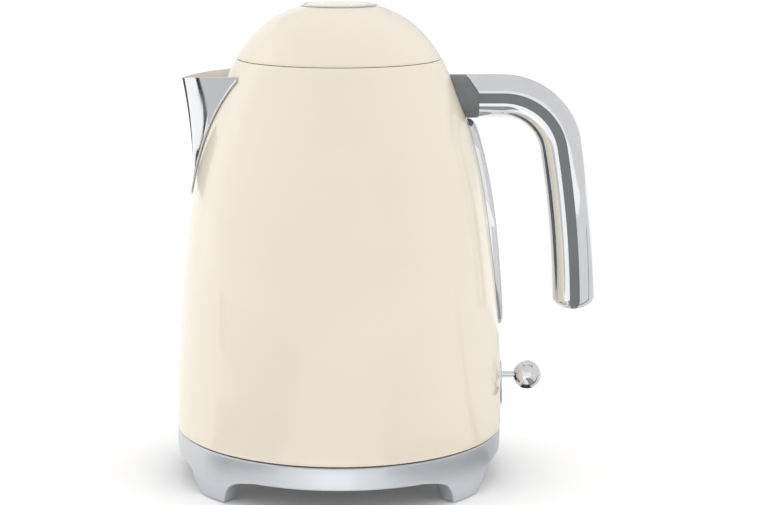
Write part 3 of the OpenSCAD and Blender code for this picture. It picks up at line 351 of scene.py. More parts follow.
def lathe(name: str, outline: Outline, steps: int = 192, sharp: float = CRISP) -> Piece:
    """Turns a closed outline of (radius, height) points round the jug's axis.

    Args:
        name: Name of the piece.
        outline: The outline. Points on the axis are shared.
        steps: Number of faces round the piece.
        sharp: Least turn of a crisp edge.

    Returns:
        The new object.
    """
    points, rows = [], []
    for r, z in outline:
        if r < 1e-6:
            rows.append([len(points)] * steps)
            points.append((0.0, 0.0, z))
        else:
            rows.append(list(range(len(points), len(points) + steps)))
            points += [(r * cos(a), r * sin(a), z) for a in full_turn(steps)]
    faces = []
    for row, above in zip(rows, rows[1:] + rows[:1]):
        for k in range(steps):
            after = (k + 1) % steps
            faces.append(list(dict.fromkeys((row[k], row[after], above[after], above[k]))))
    return make_piece(name, points, [face for face in faces if len(face) > 2], sharp)


def prism(name: str, outline: Outline, start: float, end: float) -> Piece:
    """Makes a prism from start to end along X from an outline of (y, z) points, to cut with."""
    return loft(name, [[(x, y, z) for y, z in outline] for x in (start, end)])


def box_outline(half: float, low: float, high: float) -> Outline:
    """Outline of a rectangle, from half its width and its two heights."""
    return [(-half, low), (half, low), (half, high), (-half, high)]


def combine(piece: Piece, operation: str, *others: Piece) -> None:
    """Cuts other solids out of a piece or joins them to it for good, and deletes them.

    Args:
        piece: The piece.
        operation: DIFFERENCE to cut, UNION to join.
        *others: The other solids.
    """
    for other in others:
        change = piece.modifiers.new("combine", "BOOLEAN")
        change.operation = operation
        change.solver = "EXACT"
        change.object = other
        ready = piece.evaluated_get(bpy.context.evaluated_depsgraph_get())
        mesh = bpy.data.meshes.new_from_object(ready)
        piece.modifiers.clear()
        piece.data = mesh
        bpy.data.objects.remove(other)


def wear(piece: Piece, slot: Slot) -> None:
    """Gives an object the finish of a slot and no other."""
    piece.data.materials.clear()
    piece.data.materials.append(slot.finish.material())


def dress(piece: Piece, body: str, slot: Slot, *nodes: str) -> None:
    """Gives a piece its finish, its body and the CAD nodes that it stands for.

    Args:
        piece: The piece.
        body: The body that it moves with.
        slot: The slot whose finish it takes.
        *nodes: The CAD nodes that it replaces.
    """
    wear(piece, slot)
    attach(piece, body)
    if nodes:
        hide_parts(*nodes)
    LOG.info("%s rides on %s, %s", piece.name, body, slot.finish.name)


@dataclass
class Profile:
    """The jug's outline: four arcs, each tangent to the next.

    Attributes:
        widest_r: Largest radius.
        widest_z: Height of the largest radius.
        radii: Radius of each arc, from the bottom up.
        tops: Height at which each of the lower three arcs ends.
    """

    widest_r: float = 85.6
    widest_z: float = 27.0
    radii: tuple[float, ...] = (780.0, 260.0, 64.0, 50.0)
    tops: tuple[float, ...] = (142.0, 215.0, 233.0)
    centres: list[np.ndarray] = field(init=False)
    turns: list[float] = field(init=False)

    def __post_init__(self) -> None:
        """Works out each arc's centre and the angle at which it hands over."""
        self.centres = [np.array([self.widest_r - self.radii[0], self.widest_z])]
        self.turns = []
        for i, top in enumerate(self.tops):
            turn = asin((top - self.centres[i][1]) / self.radii[i])
            self.turns.append(turn)
            step = (self.radii[i] - self.radii[i + 1]) * np.array([cos(turn), sin(turn)])
            self.centres.append(self.centres[i] + step)

    def radius(self, z: float, inset: float = 0.0) -> float:
        """Radius of the skin at a height.

        Args:
            z: Height.
            inset: Distance in from the outer skin.

        Returns:
            The radius.
        """
        arcs = zip(self.centres, self.radii, self.turns)
        knots = [centre[1] + (radius - inset) * sin(turn) for centre, radius, turn in arcs]
        i = sum(z > knot for knot in knots)
        rise = z - self.centres[i][1]
        return float(self.centres[i][0] + sqrt(max(0.0, (self.radii[i] - inset) ** 2 - rise**2)))

    def crown(self, r: float, inset: float = 0.0) -> float:
        """Height of the crown at a radius, set in from the outer skin."""
        middle = self.centres[-1]
        return float(middle[1] + sqrt((self.radii[-1] - inset) ** 2 - (r - middle[0]) ** 2))

    def reach(self, z: float, y: float, inset: float = 0.0) -> float:
        """Distance along X from the axis to the skin, at a height and a sideways distance."""
        return sqrt(self.radius(z, inset) ** 2 - y * y)

    def rear(self, y: float, z: float, rise: float) -> Point:
        """Point at the jug's rear that stands out of the skin by a rise."""
        return (self.reach(z, y, -rise), y, z)

    def line(self, low: float, high: float, inset: float = 0.0, step: float = 2.0) -> Outline:
        """(radius, height) points of the skin from low to high, about a step apart."""
        count = ceil((high - low) / step) + 1
        return [(self.radius(z, inset), float(z)) for z in np.linspace(low, high, count)]


SKIN = Profile()


@dataclass
class Gauge:
    """The raised frame round the water window, at the back of the jug.

    Attributes:
        low: Height of its lower end.
        high: Height of its upper end.
        half: Half of its width.
        rise: How far it stands out of the jug.
        rim: Width of its rim.
        narrow: How many times faster its ends close in than its sides.
        fade: Share of the rise that is missing at its lower end.
        lift: How far its foot stands off the jug.
    """

    low: float = 79.0
    high: float = 188.0
    half: float = 13.0
    rise: float = 3.8
    rim: float = 5.0
    narrow: float = 2.4
    fade: float = 0.35
    lift: float = 0.1

    def place(self, turn: float, inset: float) -> tuple[float, float]:
        """(y, z) of a point of its oval outline, at an angle round it and set in from its edge."""
        half_h = (self.high - self.low) / 2 - inset * self.narrow
        return (self.half - inset) * cos(turn), (self.low + self.high) / 2 + half_h * sin(turn)

    def oval(self, inset: float, steps: int = 96) -> Outline:
        """The whole outline, as (y, z) points, set in from the outer edge."""
        return [self.place(turn, inset) for turn in full_turn(steps)]

    def build(self) -> None:
        """Builds the frame round the window."""
        # The rim's section: distance in from the outer edge, and share of the rise.
        section = [(0.0, 0.0), (0.1, 0.42), (0.5, 0.72), (1.1, 0.9), (1.9, 0.99), (2.8, 1.0)]
        section += [(3.7, 0.94), (4.4, 0.82), (4.85, 0.62), (self.rim, 0.3), (self.rim, 0.0)]
        rings = []
        for turn in full_turn(160):
            rise = [self.rise * share * (1 - self.fade * max(0.0, -sin(turn))) for _, share in section]
            spots = [self.place(turn, inset) for inset, _ in section]
            rings.append([SKIN.rear(y, z, out + self.lift) for (y, z), out in zip(spots, rise)])
        dress(loft("gauge_frame", rings, loop=True), "jug", Slot.CHROME, "gauge_bezel")


@dataclass
class Spout:
    """The V-shaped beak and the bead along its seam.

    Attributes:
        low: Height of its lowest point.
        tip_z: Height of its tip.
        tip_x: Reach of its tip.
        start: Height at which its sheet leaves the jug.
        foot_x: Reach of the ridge at that height.
        rise: Rise of the rim from the tip to the jug.
        half: Half of its width at the rim.
        sheet: Thickness of its sheet.
        bead: Width of the bead.
        flat: Depth of the bead as a share of its width.
        nose: How rounded its ridge is; smaller is sharper.
        rim_nose: How rounded the rim's dip is at the ridge.
        seam_curve: Power by which the seam widens with height.
        ridge_curve: Power by which the ridge leans forward with height.
        least: Least half-width of the sheet, at its foot.
        lift: How far the sheet and the bead stand off the jug.
    """

    low: float = 149.5
    tip_z: float = 208.9
    tip_x: float = 80.5
    start: float = 155.0
    foot_x: float = 75.30
    rise: float = 2.9
    half: float = 26.0
    sheet: float = 1.3
    bead: float = 2.4
    flat: float = 0.5
    nose: float = 1.2
    rim_nose: float = 0.1
    seam_curve: float = 1.5
    ridge_curve: float = 2.2
    least: float = 0.6
    lift: float = 0.08

    def seam(self, z: float) -> float:
        """Half-width of the seam on the jug at a height."""
        share = max(0.0, (z - self.low) / (self.tip_z + self.rise - self.low))
        return self.half * share**self.seam_curve

    def ridge(self, z: float) -> float:
        """Reach of the front ridge at a height."""
        share = max(0.0, (z - self.low) / (self.tip_z - self.low))
        return self.foot_x + (self.tip_x - self.foot_x) * share**self.ridge_curve

    @staticmethod
    def vee(t: float, blunt: float) -> float:
        """Height of a V with a rounded point, for t from -1 to 1; both of its ends are at 1."""
        return (hypot(t, blunt) - blunt) / (hypot(1, blunt) - blunt)

    def point(self, level: float, t: float, inner: bool) -> Point:
        """A point of the sheet.

        Args:
            level: 0 at the bottom, 1 at the rim.
            t: -1 to 1 across the spout.
            inner: Whether the point is on the inside.

        Returns:
            The point.
        """
        z = self.start + (self.tip_z + self.rise * self.vee(t, self.rim_nose) - self.start) * level
        half = max(self.least, self.seam(z))
        reach = self.ridge(z)
        if inner:
            reach -= min(self.sheet * 1.25, 0.5 * (reach - SKIN.reach(z, 0)))
            half = max(0.3 * half, half - self.sheet * 1.1)
        seat = SKIN.reach(z, half, -self.lift)
        return (-(reach + (seat - reach) * self.vee(t, self.nose)), half * t, z)

    def bead_point(self, t: float) -> np.ndarray:
        """Middle of the bead.

        Args:
            t: -1 to 1 along the bead.

        Returns:
            The point.
        """
        z = self.low - 0.8 + (self.tip_z + self.rise - 0.4 - self.low) * abs(t) ** 0.8
        y = copysign(self.seam(z) + self.bead * 0.5, t)
        return np.array([-SKIN.reach(z, y, -self.bead * self.flat / 2 - self.lift), y, z])

    def build(self) -> None:
        """Builds the beak and the bead."""
        across = np.linspace(-1, 1, 49)
        rings = []
        for level in np.linspace(0, 1, 42):
            outer = [self.point(level, t, False) for t in across]
            rings.append(outer + [self.point(level, t, True) for t in reversed(across)])
        dress(loft("spout_beak", rings), "jug", Slot.CHROME, "spout")
        tube = []
        for t in np.linspace(-1, 1, 97):
            ahead = self.bead_point(t + 0.01) - self.bead_point(t - 0.01)
            ahead /= np.linalg.norm(ahead)
            out = np.cross(ahead, (1, 0, 0))
            out /= np.linalg.norm(out)
            up = np.cross(ahead, out)
            section = [cos(a) * out + self.flat * sin(a) * up for a in full_turn(14)]
            tube.append([tuple(self.bead_point(t) + self.bead / 2 * spot) for spot in section])
        dress(loft("spout_bead", tube, sharp=60), "jug", Slot.CHROME, "spout_trim")

    def mouth(self, edge: float = 3.6) -> Outline:
        """Outline of the pouring mouth in the jug.

        Args:
            edge: Distance that the mouth keeps from the seam.

        Returns:
            (y, z) points.
        """
        levels = np.linspace(self.low + 21, 206, 9)
        half = [max(0.4, self.seam(z) - edge) for z in levels]
        right = [(h, float(z)) for h, z in zip(half, levels)]
        return right + [(-y, z) for y, z in reversed(right)]


@dataclass
class Jug:
    """The enamelled shell.

    Attributes:
        low: Height of its lower edge.
        high: Height of its upper edge.
        wall: Thickness of its wall.
    """

    low: float = 27.0
    high: float = 219.05
    wall: float = 1.0

    def build(self, spout: Spout, gauge: Gauge) -> None:
        """Builds the shell with its mouth, its window and the lever's slot.

        Args:
            spout: The spout, which says where the mouth is.
            gauge: The gauge, which says where the window is.
        """
        low, high = self.low + LIP, self.high - LIP
        near, far = self.wall / 2 * 0.4, self.wall / 2 * 1.6
        top = [(SKIN.radius(self.high, inset), self.high) for inset in (near, far)]
        foot = [(SKIN.radius(self.low, inset), self.low) for inset in (far, near)]
        outline = SKIN.line(low, high) + top + SKIN.line(low, high, self.wall)[::-1] + foot
        shell = lathe("jug_skin", outline, FINE_STEPS)
        mouth = prism("mouth_cutter", spout.mouth(), -90, -30)
        window = prism("window_cutter", gauge.oval(gauge.rim), 40, 90)
        combine(shell, "DIFFERENCE", mouth, window, prism("slot_cutter", box_outline(*LEVER_SLOT), 70, 90))
        shade(shell.data, CRISP)
        dress(shell, "jug", Slot.CREAM, "body_shell")


@dataclass
class Lid:
    """The dome, its button and the ring round the button.

    Attributes:
        low: Height of its lower edge.
        wall: Thickness of its shell.
        hole: Radius of the hole for the button.
        button_r: Radius of the button.
        button_top: Height of the button's top.
        ring_r: Outer radius of the ring.
        turn_z: Height above which the dome is drawn by its radius.
        stem_z: Height of the lower end of the button's stem.
    """

    low: float = 219.35
    wall: float = 1.2
    hole: float = 18.1
    button_r: float = 17.1
    button_top: float = 248.0
    ring_r: float = 19.6
    turn_z: float = 240.0
    stem_z: float = 220.2

    def build(self) -> None:
        """Builds the dome, the ring and the button."""
        brim = SKIN.crown(self.hole)
        side = SKIN.line(self.low + LIP, self.turn_z, step=1.2)
        crest = [(r, SKIN.crown(r)) for r in np.linspace(side[-1][0] - 1.0, self.hole, 12)]
        turn_r = SKIN.radius(self.turn_z, self.wall)
        inner = [(r, SKIN.crown(r, self.wall)) for r in np.linspace(self.hole, turn_r, 12)]
        inner += SKIN.line(self.low + LIP, self.turn_z - 1, self.wall, step=1.2)[::-1]
        foot = [(SKIN.radius(self.low, inset), self.low) for inset in (0.95, 0.25)]
        dome = lathe("lid_dome", side + crest + inner + foot, FINE_STEPS)
        dress(dome, "lid", Slot.CREAM, "lid_shell")
        bore, shoulder, inside = self.button_r + 0.25, self.ring_r - 0.7, self.hole - 0.08
        seat, edge = SKIN.crown(shoulder), SKIN.crown(self.ring_r)
        ring = [(bore, brim - 3), (inside, brim - 3), (inside, brim + 0.05), (shoulder, seat + 0.05)]
        ring += [(shoulder + 0.15, seat + 0.2), (self.ring_r - 0.02, edge + 0.34), (self.ring_r, edge + 0.42)]
        ring += [(self.ring_r - 0.1, edge + 0.62), (self.ring_r - 0.4, brim + 0.42), (shoulder, brim + 0.56)]
        ring += [(shoulder - 0.5, brim + 0.5), (bore + 0.1, brim + 0.2), (bore, brim)]
        dress(lathe("button_bezel", ring, sharp=55), "lid", Slot.CHROME, "button_ring")
        self.build_button()

    def build_button(self) -> None:
        """Builds the button's cap with its stem and its cam."""
        r, top, low = self.button_r, self.button_top, self.stem_z
        under = top - 4.2
        cap = [(0, low), (3, low), (3, under), (r - 0.3, under), (r, under + 0.3), (r, top - 2.1)]
        cap += [(r - 0.12, top - 1.75), (r - 0.4, top - 1.5), (r - 0.9, top - 1.28), (r - 1.6, top - 1.07)]
        cap += [(r * s, top - 1.3 * s**2.2) for s in (0.85, 0.7, 0.55, 0.4, 0.25, 0.12)]
        button = lathe("button_cap", cap + [(0, top)])
        cam = [(0.0, low), (4.0, low), (8.0, 225.0), (0.0, 225.0)]
        combine(button, "UNION", loft("cam_block", [[(x, y, z) for x, z in cam] for y in (-2.5, 2.5)]))
        shade(button.data, CRISP)
        dress(button, "button", Slot.BUTTON, "lid_button")


class Layer(Enum):
    """The handle's two metal covers, by the side that they lie on."""

    OUTER = 1
    INNER = -1


@dataclass
class Handle:
    """The looped handle: a grey frame between two metal covers.

    Attributes:
        leg_z: Height of the upper leg's middle.
        bend_x: Reach at which the bend starts.
        bend_r: Radius of the bend.
        bend_turn: Angle of the bend, in degrees.
        leg_r: Radius of the hanging leg's slow curve.
        leg_length: Length of the hanging leg.
        depth: Depth of the section, seen from the side.
        width: Width of the section.
        strip: Width of the grey strip.
        recess: How far the strip lies below the covers.
        cover: Thickness of the covers.
        cover_x: Reach at which the outer cover starts, at the top.
        cover_end: Reach at which the covers start, at the strip.
        tip: Length of the rounded end.
        lift: How far the frame's root stands off the jug.
    """

    leg_z: float = 199.4
    bend_x: float = 84.0
    bend_r: float = 31.0
    bend_turn: float = 80.0
    leg_r: float = 550.0
    leg_length: float = 86.8
    depth: float = 22.5
    width: float = 22.0
    strip: float = 5.2
    recess: float = 0.35
    cover: float = 1.8
    cover_x: float = 65.5
    cover_end: float = 71.5
    tip: float = 7.0
    lift: float = 0.12

    @property
    def turn(self) -> float:
        """Angle of the bend, in radians."""
        return radians(self.bend_turn)

    @property
    def arc(self) -> float:
        """Length of the bend's middle line."""
        return self.bend_r * self.turn

    def spot(self, p: tuple[float, float], s: float, scale: float) -> Point:
        """Places a section point (out, across) at s past the start of the bend.

        Args:
            p: Section point.
            s: Distance along the middle line.
            scale: Scale of the section there.

        Returns:
            The point.
        """
        if s < self.arc:
            a = s / self.bend_r
            x, z = self.bend_x + self.bend_r * sin(a), self.leg_z - self.bend_r * (1 - cos(a))
        else:
            turn = self.turn
            a = turn + (s - self.arc) / self.leg_r
            x = self.bend_x + self.bend_r * sin(turn) + self.leg_r * (sin(a) - sin(turn))
            z = self.leg_z - self.bend_r * (1 - cos(turn)) + self.leg_r * (cos(a) - cos(turn))
        return (x + p[0] * scale * sin(a), p[1] * scale, z + p[0] * scale * cos(a))

    def along(self, section: Outline) -> Rings:
        """Rings of a section along the bend, the hanging leg and its rounded tip.

        Args:
            section: The section's (out, across) points.

        Returns:
            The rings.
        """
        arc, leg, tip = self.arc, self.leg_length, self.tip
        stations = [(arc * i / 28, 1.0) for i in range(29)]
        stations += [(arc + (leg - tip) * i / 14, 1.0) for i in range(1, 14)]
        turns = np.radians(np.linspace(0, 84, 13))
        stations += [(arc + leg - tip * (1 - sin(a)), cos(a)) for a in turns]
        return [[self.spot(p, s, scale) for p in section] for s, scale in stations]

    def start(self, out: float) -> float:
        """Reach at which the covers start, for a point out from the middle line."""
        share = (out - self.strip / 2) / (self.depth / 2 - self.strip / 2)
        return self.cover_end + (self.cover_x - self.cover_end) * max(0.0, share)

    def cover_rings(self, layer: Layer) -> Rings:
        """Rings of a cover: round outside, softly turned in at the strip, hollow over the core.

        Args:
            layer: Which cover it is.

        Returns:
            The rings.
        """
        side, turn = layer.value, acos(self.strip / self.depth)
        section = []
        for a in np.linspace(-turn, turn, 41):
            soft = 1 - 0.012 * max(0.0, abs(a) / turn - 0.9) / 0.1
            out, across = self.depth / 2 * cos(a), self.width / 2 * sin(a)
            section.append((side * out * soft, side * across * soft))
        n, c, d = self.strip / 2 + 0.06, self.width / 4 + 0.08, self.depth / 2 - self.cover * 2 + 0.08
        section += [(side * n, side * c), (side * d, side * c), (side * d, -side * c), (side * n, -side * c)]
        reach = [self.start(p[0] if layer is Layer.OUTER else 0) for p in section]
        lead = [[(x + gap, p[1], self.leg_z + p[0]) for x, p in zip(reach, section)] for gap in (0.1, 3.0)]
        return lead + self.along(section)

    def core_section(self) -> Outline:
        """Section of the frame: a core between the covers, and a strip out to each side.

        Returns:
            (out, across) points.
        """
        half, edge = self.strip / 2, self.width / 2 * sin(acos(self.strip / self.depth)) - self.recess
        core, deep = self.width / 4, self.depth / 2 - self.cover * 2
        quarter = [(deep, core), (half, core), (half, edge - 0.15), (half - 0.15, edge)]
        corners = quarter + [(-p[0], p[1]) for p in reversed(quarter)]
        corners += [(-p[0], -p[1]) for p in corners]
        section = []
        for a, b in zip(corners, corners[1:] + corners[:1]):
            section += [(a[0] + (b[0] - a[0]) * j / 6, a[1] + (b[1] - a[1]) * j / 6) for j in range(6)]
        return section

    def build(self) -> None:
        """Builds the frame and both covers."""
        dress(loft("handle_outer", self.cover_rings(Layer.OUTER)), "jug", Slot.CHROME, "handle_outer_cover")
        dress(loft("handle_inner", self.cover_rings(Layer.INNER)), "jug", Slot.CHROME, "handle_inner_cover")
        section, z = self.core_section(), self.leg_z
        turns = [atan2(across / self.width, out / self.depth) for out, across in section]
        rounded = [(self.depth / 2 * cos(a), self.width / 2 * sin(a)) for a in turns]
        rings = []
        for share in (0.02, 0.25, 0.5, 0.75, 0.94, 1.0):
            rings.append([SKIN.rear(p[1] * share, z + p[0] * share, self.lift) for p in rounded])
        rings.append([(self.start(p[0]) - 0.3, p[1], z + p[0]) for p in rounded])
        rings.append([(self.start(p[0]), p[1] * 0.975, z + p[0] * 0.975) for p in rounded])
        rings.append([(self.start(p[0]), p[1], z + p[0]) for p in section])
        rings += self.along(section)
        dress(loft("handle_core", rings, sharp=40), "jug", Slot.GREY, "handle_frame")


@dataclass
class PowerLever:
    """The plate, the rod and the ball of the power lever.

    Attributes:
        z: Height of the pivot and of the ball's middle.
        rod: Diameter of the rod.
        ball_x: Reach of the ball.
        ball: Diameter of the ball.
        plate: Half-width, low and high of the plate.
        corner: Radius of the plate's corners.
        rise: How far the plate stands out of the jug.
        seat: How far the plate's back stands off the jug.
    """

    z: float = 51.6
    rod: float = 3.5
    ball_x: float = 99.4
    ball: float = 15.0
    plate: tuple[float, float, float] = (8.5, 36.7, 59.9)
    corner: float = 3.0
    rise: float = 0.8
    seat: float = 0.05

    def build_plate(self) -> None:
        """Builds the plate with the lever's slot."""
        half, low, high = self.plate
        r, middle, tall = self.corner, (low + high) / 2, (high - low) / 2
        across, top, bottom = half - r, high - r, low + r
        outline = []
        for i, (y, z) in enumerate(((across, top), (-across, top), (-across, bottom), (across, bottom))):
            turns = [radians(90 * i + a) for a in range(0, 91, 15)]
            outline += [(y + r * cos(a), z + r * sin(a)) for a in turns]
        # Each ring's share of the outline across and up, and its rise: over the edge, in, and back.
        edge = ((0, self.seat), (0, 0.45), (0.12, 0.65), (0.45, self.rise), (0.95, self.rise))
        shares = [(1 - inset / half, 1 - inset / tall, rise) for inset, rise in edge]
        inward = (0.8, 0.55, 0.3, 0.02)
        shares += [(s, s, self.rise) for s in inward] + [(s, s, self.seat) for s in reversed(inward)]
        rings = []
        for a, b, rise in shares:
            rings.append([SKIN.rear(y * a, middle + (z - middle) * b, rise) for y, z in outline])
        plate = loft("lever_plate", rings, loop=True, sharp=40)
        combine(plate, "DIFFERENCE", prism("plate_slot", box_outline(*LEVER_SLOT), 70, 95))
        dress(plate, "jug", Slot.CHROME, "switch_plate")

    def build(self) -> None:
        """Builds the plate and the ball."""
        self.build_plate()
        r, bore = self.ball / 2, self.rod / 2
        start = asin((bore + 0.35) / r)
        neck = -r * cos(start)
        profile = [(bore + 0.02, 0.0), (bore + 0.02, neck + 0.5), (bore + 0.12, neck + 0.14)]
        profile += [(r * sin(a), -r * cos(a)) for a in np.linspace(start, pi, 40)[:-1]]
        ball = lathe("lever_ball", profile + [(0.0, r), (0.0, 0.0)], steps=64, sharp=60)
        for vertex in ball.data.vertices:
            x, y, h = vertex.co.x / MM - AXIS_X, vertex.co.y / MM, vertex.co.z / MM
            vertex.co = Vector(((self.ball_x + h + AXIS_X) * MM, y * MM, (self.z - x) * MM))
        dress(ball, "lever", Slot.CHROME, "lever_knob")


@dataclass
class PowerBase:
    """The silver ring with its four feet.

    Attributes:
        r: Outer radius.
        top: Height of the upper edge.
        low: Height of the lower edge between the feet.
        wall: Thickness of the ring.
        foot_turn: Angle of each foot from the side-to-side line, in degrees.
        foot_w: Width of a foot near the floor.
        flare: How much each flank of a foot widens up to the ring.
        sweep: Further widening by the hollow curve into the ring.
        foot_t: Radial thickness of a foot.
        pad: Height of a foot's underside over the worktop.
        taper: How far a foot's outside slopes in at its underside.
        taper_h: Height over which it slopes.
        blend: Height over the lower edge at which the slope may start.
    """

    r: float = 85.2
    top: float = 26.4
    low: float = 14.5
    wall: float = 2.6
    foot_turn: float = 51.0
    foot_w: float = 22.0
    flare: float = 6.5
    sweep: float = 14.0
    foot_t: float = 8.0
    pad: float = 0.4
    taper: float = 1.6
    taper_h: float = 6.5
    blend: float = 2.5

    def edge(self, across: float) -> float:
        """Height of the lower edge.

        Args:
            across: Distance across from the nearest foot's middle.

        Returns:
            The height.
        """
        half, start = self.foot_w / 2, self.pad + 2.0
        shares = np.linspace(0, 1, 60)
        flank = half + self.flare * shares + self.sweep * shares**7
        widths = np.concatenate([[half - 2.0, half - 1.2, half - 0.6, half - 0.15], flank])
        corner = [self.pad, self.pad + 0.18, self.pad + 0.6, self.pad + 1.3]
        heights = np.concatenate([corner, start + (self.low - start) * shares])
        return float(np.interp(across, widths, heights))

    def outer(self, z: float) -> float:
        """Radius of the outside at a height."""
        return self.r - self.taper * max(0.0, (self.pad + self.taper_h - z) / self.taper_h)

    def column(self, low: float) -> Outline:
        """Section of the ring, down its outside and up its inside.

        Args:
            low: Height of the lower edge there.

        Returns:
            (radius, height) points.
        """
        r, top, back = self.r, self.top, self.r - self.wall
        points = [(r - 1.2, top), (r - 0.5, top - 0.2), (r - 0.1, top - 0.6), (r, top - 1.2), (r, top - 6)]
        points.append((r, self.low + self.blend))
        for share in (0.25, 0.5, 0.75, 1.0):
            z = self.low + self.blend + (low + 0.8 - self.low - self.blend) * share
            points.append((self.outer(z), z))
        bottom, foot = self.outer(low), min(1.0, (self.low - low) / 0.5)
        points += [(bottom - 0.08, low + 0.4), (bottom - 0.3, low + 0.12), (bottom - 0.8, low)]
        inside = back - foot * (self.foot_t + self.taper - self.wall)
        points += [(inside + 0.6, low), (inside + 0.15, low + 0.08), (inside, low + 0.25)]
        return points + [(inside, self.low + 0.3), (back, self.low + 0.34), (back, top)]

    def build(self) -> None:
        """Builds the ring as one skin whose lower edge dips into the feet."""
        feet = [radians(side * 90 + end * self.foot_turn) for side in (1, -1) for end in (1, -1)]
        marks = set(np.linspace(-pi, pi, 361)[:-1].round(5))
        for foot in feet:
            marks |= set((foot + np.linspace(-0.4, 0.4, 180)).round(5))
        rings = []
        for a in sorted(marks):
            away = min(abs((a - foot + pi) % (2 * pi) - pi) for foot in feet)
            column = self.column(self.edge(self.r * sin(min(away, 0.5))))
            rings.append([(r * cos(a), r * sin(a), z) for r, z in column])
        dress(loft("base_ring", rings, loop=True, sharp=40), "base", Slot.SILVER, "base_shell")


# CAD nodes that keep their shape, by the slot of their finish.
KEPT: dict[Slot, tuple[str, ...]] = {
    Slot.SILVER: ("base_deck",),
    Slot.BLACK: ("connector_tower", "base_underside", "cord_drum", "thermostat_control", "bottom_cover"),
    Slot.BRASS: ("contact_rings", "connector_socket"),
    Slot.BIMETAL: ("bimetal_disc",),
    Slot.STEEL: (
        "base_screws", "handle_screws", "lever_pivot_pin", "lid_hinge_pin", "lid_spring", "heater_plate",
        "bottom_screws", "filter_mesh", "lid_hinge_arms", "button_spring", "latch_bolt",
    ),
    Slot.SILICONE: ("foot_pads", "cord_gland", "gauge_gasket", "plate_seal", "lid_gasket"),
    Slot.GREY: ("neck_ring", "steam_tube", "filter_frame", "lid_inner_cover"),
    Slot.CHROME: ("switch_lever",),
    Slot.CLEAR: ("gauge_window",),
    Slot.ALUMINIUM: ("heat_spreader",),
    Slot.SHEATH: ("heating_element",),
}


def dress_kept_nodes() -> None:
    """Gives each CAD node that keeps its shape its finish and its smooth shading."""
    for slot, names in KEPT.items():
        for name in names:
            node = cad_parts[name]
            wear(node, slot)
            shade(node.data, CRISP_CAD)
            LOG.info("%s keeps its shape, %s", name, slot.finish.name)


def flat(z: float, *plan: tuple[float, float]) -> list[Point]:
    """Corners of a level card from its height and its plan."""
    return [(x, y, z) for x, y in plan]


FELT = "#E0E0E1"
EDGE = ((-1500, -30), (-617, -77), (-560, -99), (-509, -124), (-448, -142))
# Cards that only reflections show, each with its colour, its own glow and its corners.
CARDS: dict[str, tuple[str, float, list[Point]]] = {
    "grey_left": ("#CBCBCC", 0, flat(1, *EDGE, (-106, -160), (-106, -190), (-420, -900), (-1500, -900))),
    "line_left": (
        "#1A1B1C", 0, flat(2, *EDGE, (-448, -130), (-509, -110), (-560, -75), (-617, -33), (-1500, 60))
    ),
    "back_left": ("#5A5B5C", 0, [(-200, 86, 145), (-90, 149, 145), (-90, 149, 200), (-200, 86, 200)]),
    "grey_right": (FELT, 0, flat(1, (106, -190), (420, -900), (2500, -900), (2500, 900), (106, 300))),
    "line_right": ("#6A6B6C", 0, flat(2, (106, -16), (1500, -16), (1500, 60), (106, -2))),
    "base_left": (
        "#A2A4A6", 0, flat(3, (-90, -140), (-105, -62), (-118, -40), (-300, -50), (-280, -170), (-150, -250))
    ),
    "base_right": (
        "#9A9C9E", 0,
        flat(3, (60, -140), (100, -62), (118, -10), (145, -10), (165, -60), (160, -130), (135, -190),
             (90, -215)),
    ),
    "base_wings": ("#FFFFFF", 0.25, flat(2, (-75, -118), (60, -120), (85, -180), (-110, -178))),
    "base_middle": ("#FFFFFF", 0.7, flat(3, (-35, -122), (18, -122), (26, -178), (-48, -178))),
    "ball_under": ("#4A4B4C", 0, flat(41, (94, -7), (102, -8), (105, 12), (95, 12))),
    "ceiling": (FELT, 0, flat(2200, (-1500, -4000), (4000, -4000), (4000, 4000), (-1500, 4000))),
    "wall_right": (FELT, 0, [(2500, -4000, 0), (2500, -4000, 2200), (2500, 4000, 2200), (2500, 4000, 0)]),
    "wall_back": (FELT, 0, [(300, 4000, 0), (300, 4000, 2200), (2500, 4000, 2200), (2500, 4000, 0)]),
}


def seen_directly(tree: Tree) -> Socket:
    """Tells sight from lighting.

    Args:
        tree: Node tree that the nodes go into.

    Returns:
        1 where the camera, a reflection or a clear piece looks, and 0 for the light on the object.
    """
    rays = add_node(tree, "LightPath").outputs
    most = {"operation": "MAXIMUM"}
    bent = add_node(tree, "Math", most, i0=rays["Is Glossy Ray"], i1=rays["Is Transmission Ray"])
    return add_node(tree, "Math", most, i0=rays["Is Camera Ray"], i1=bent.outputs[0]).outputs[0]


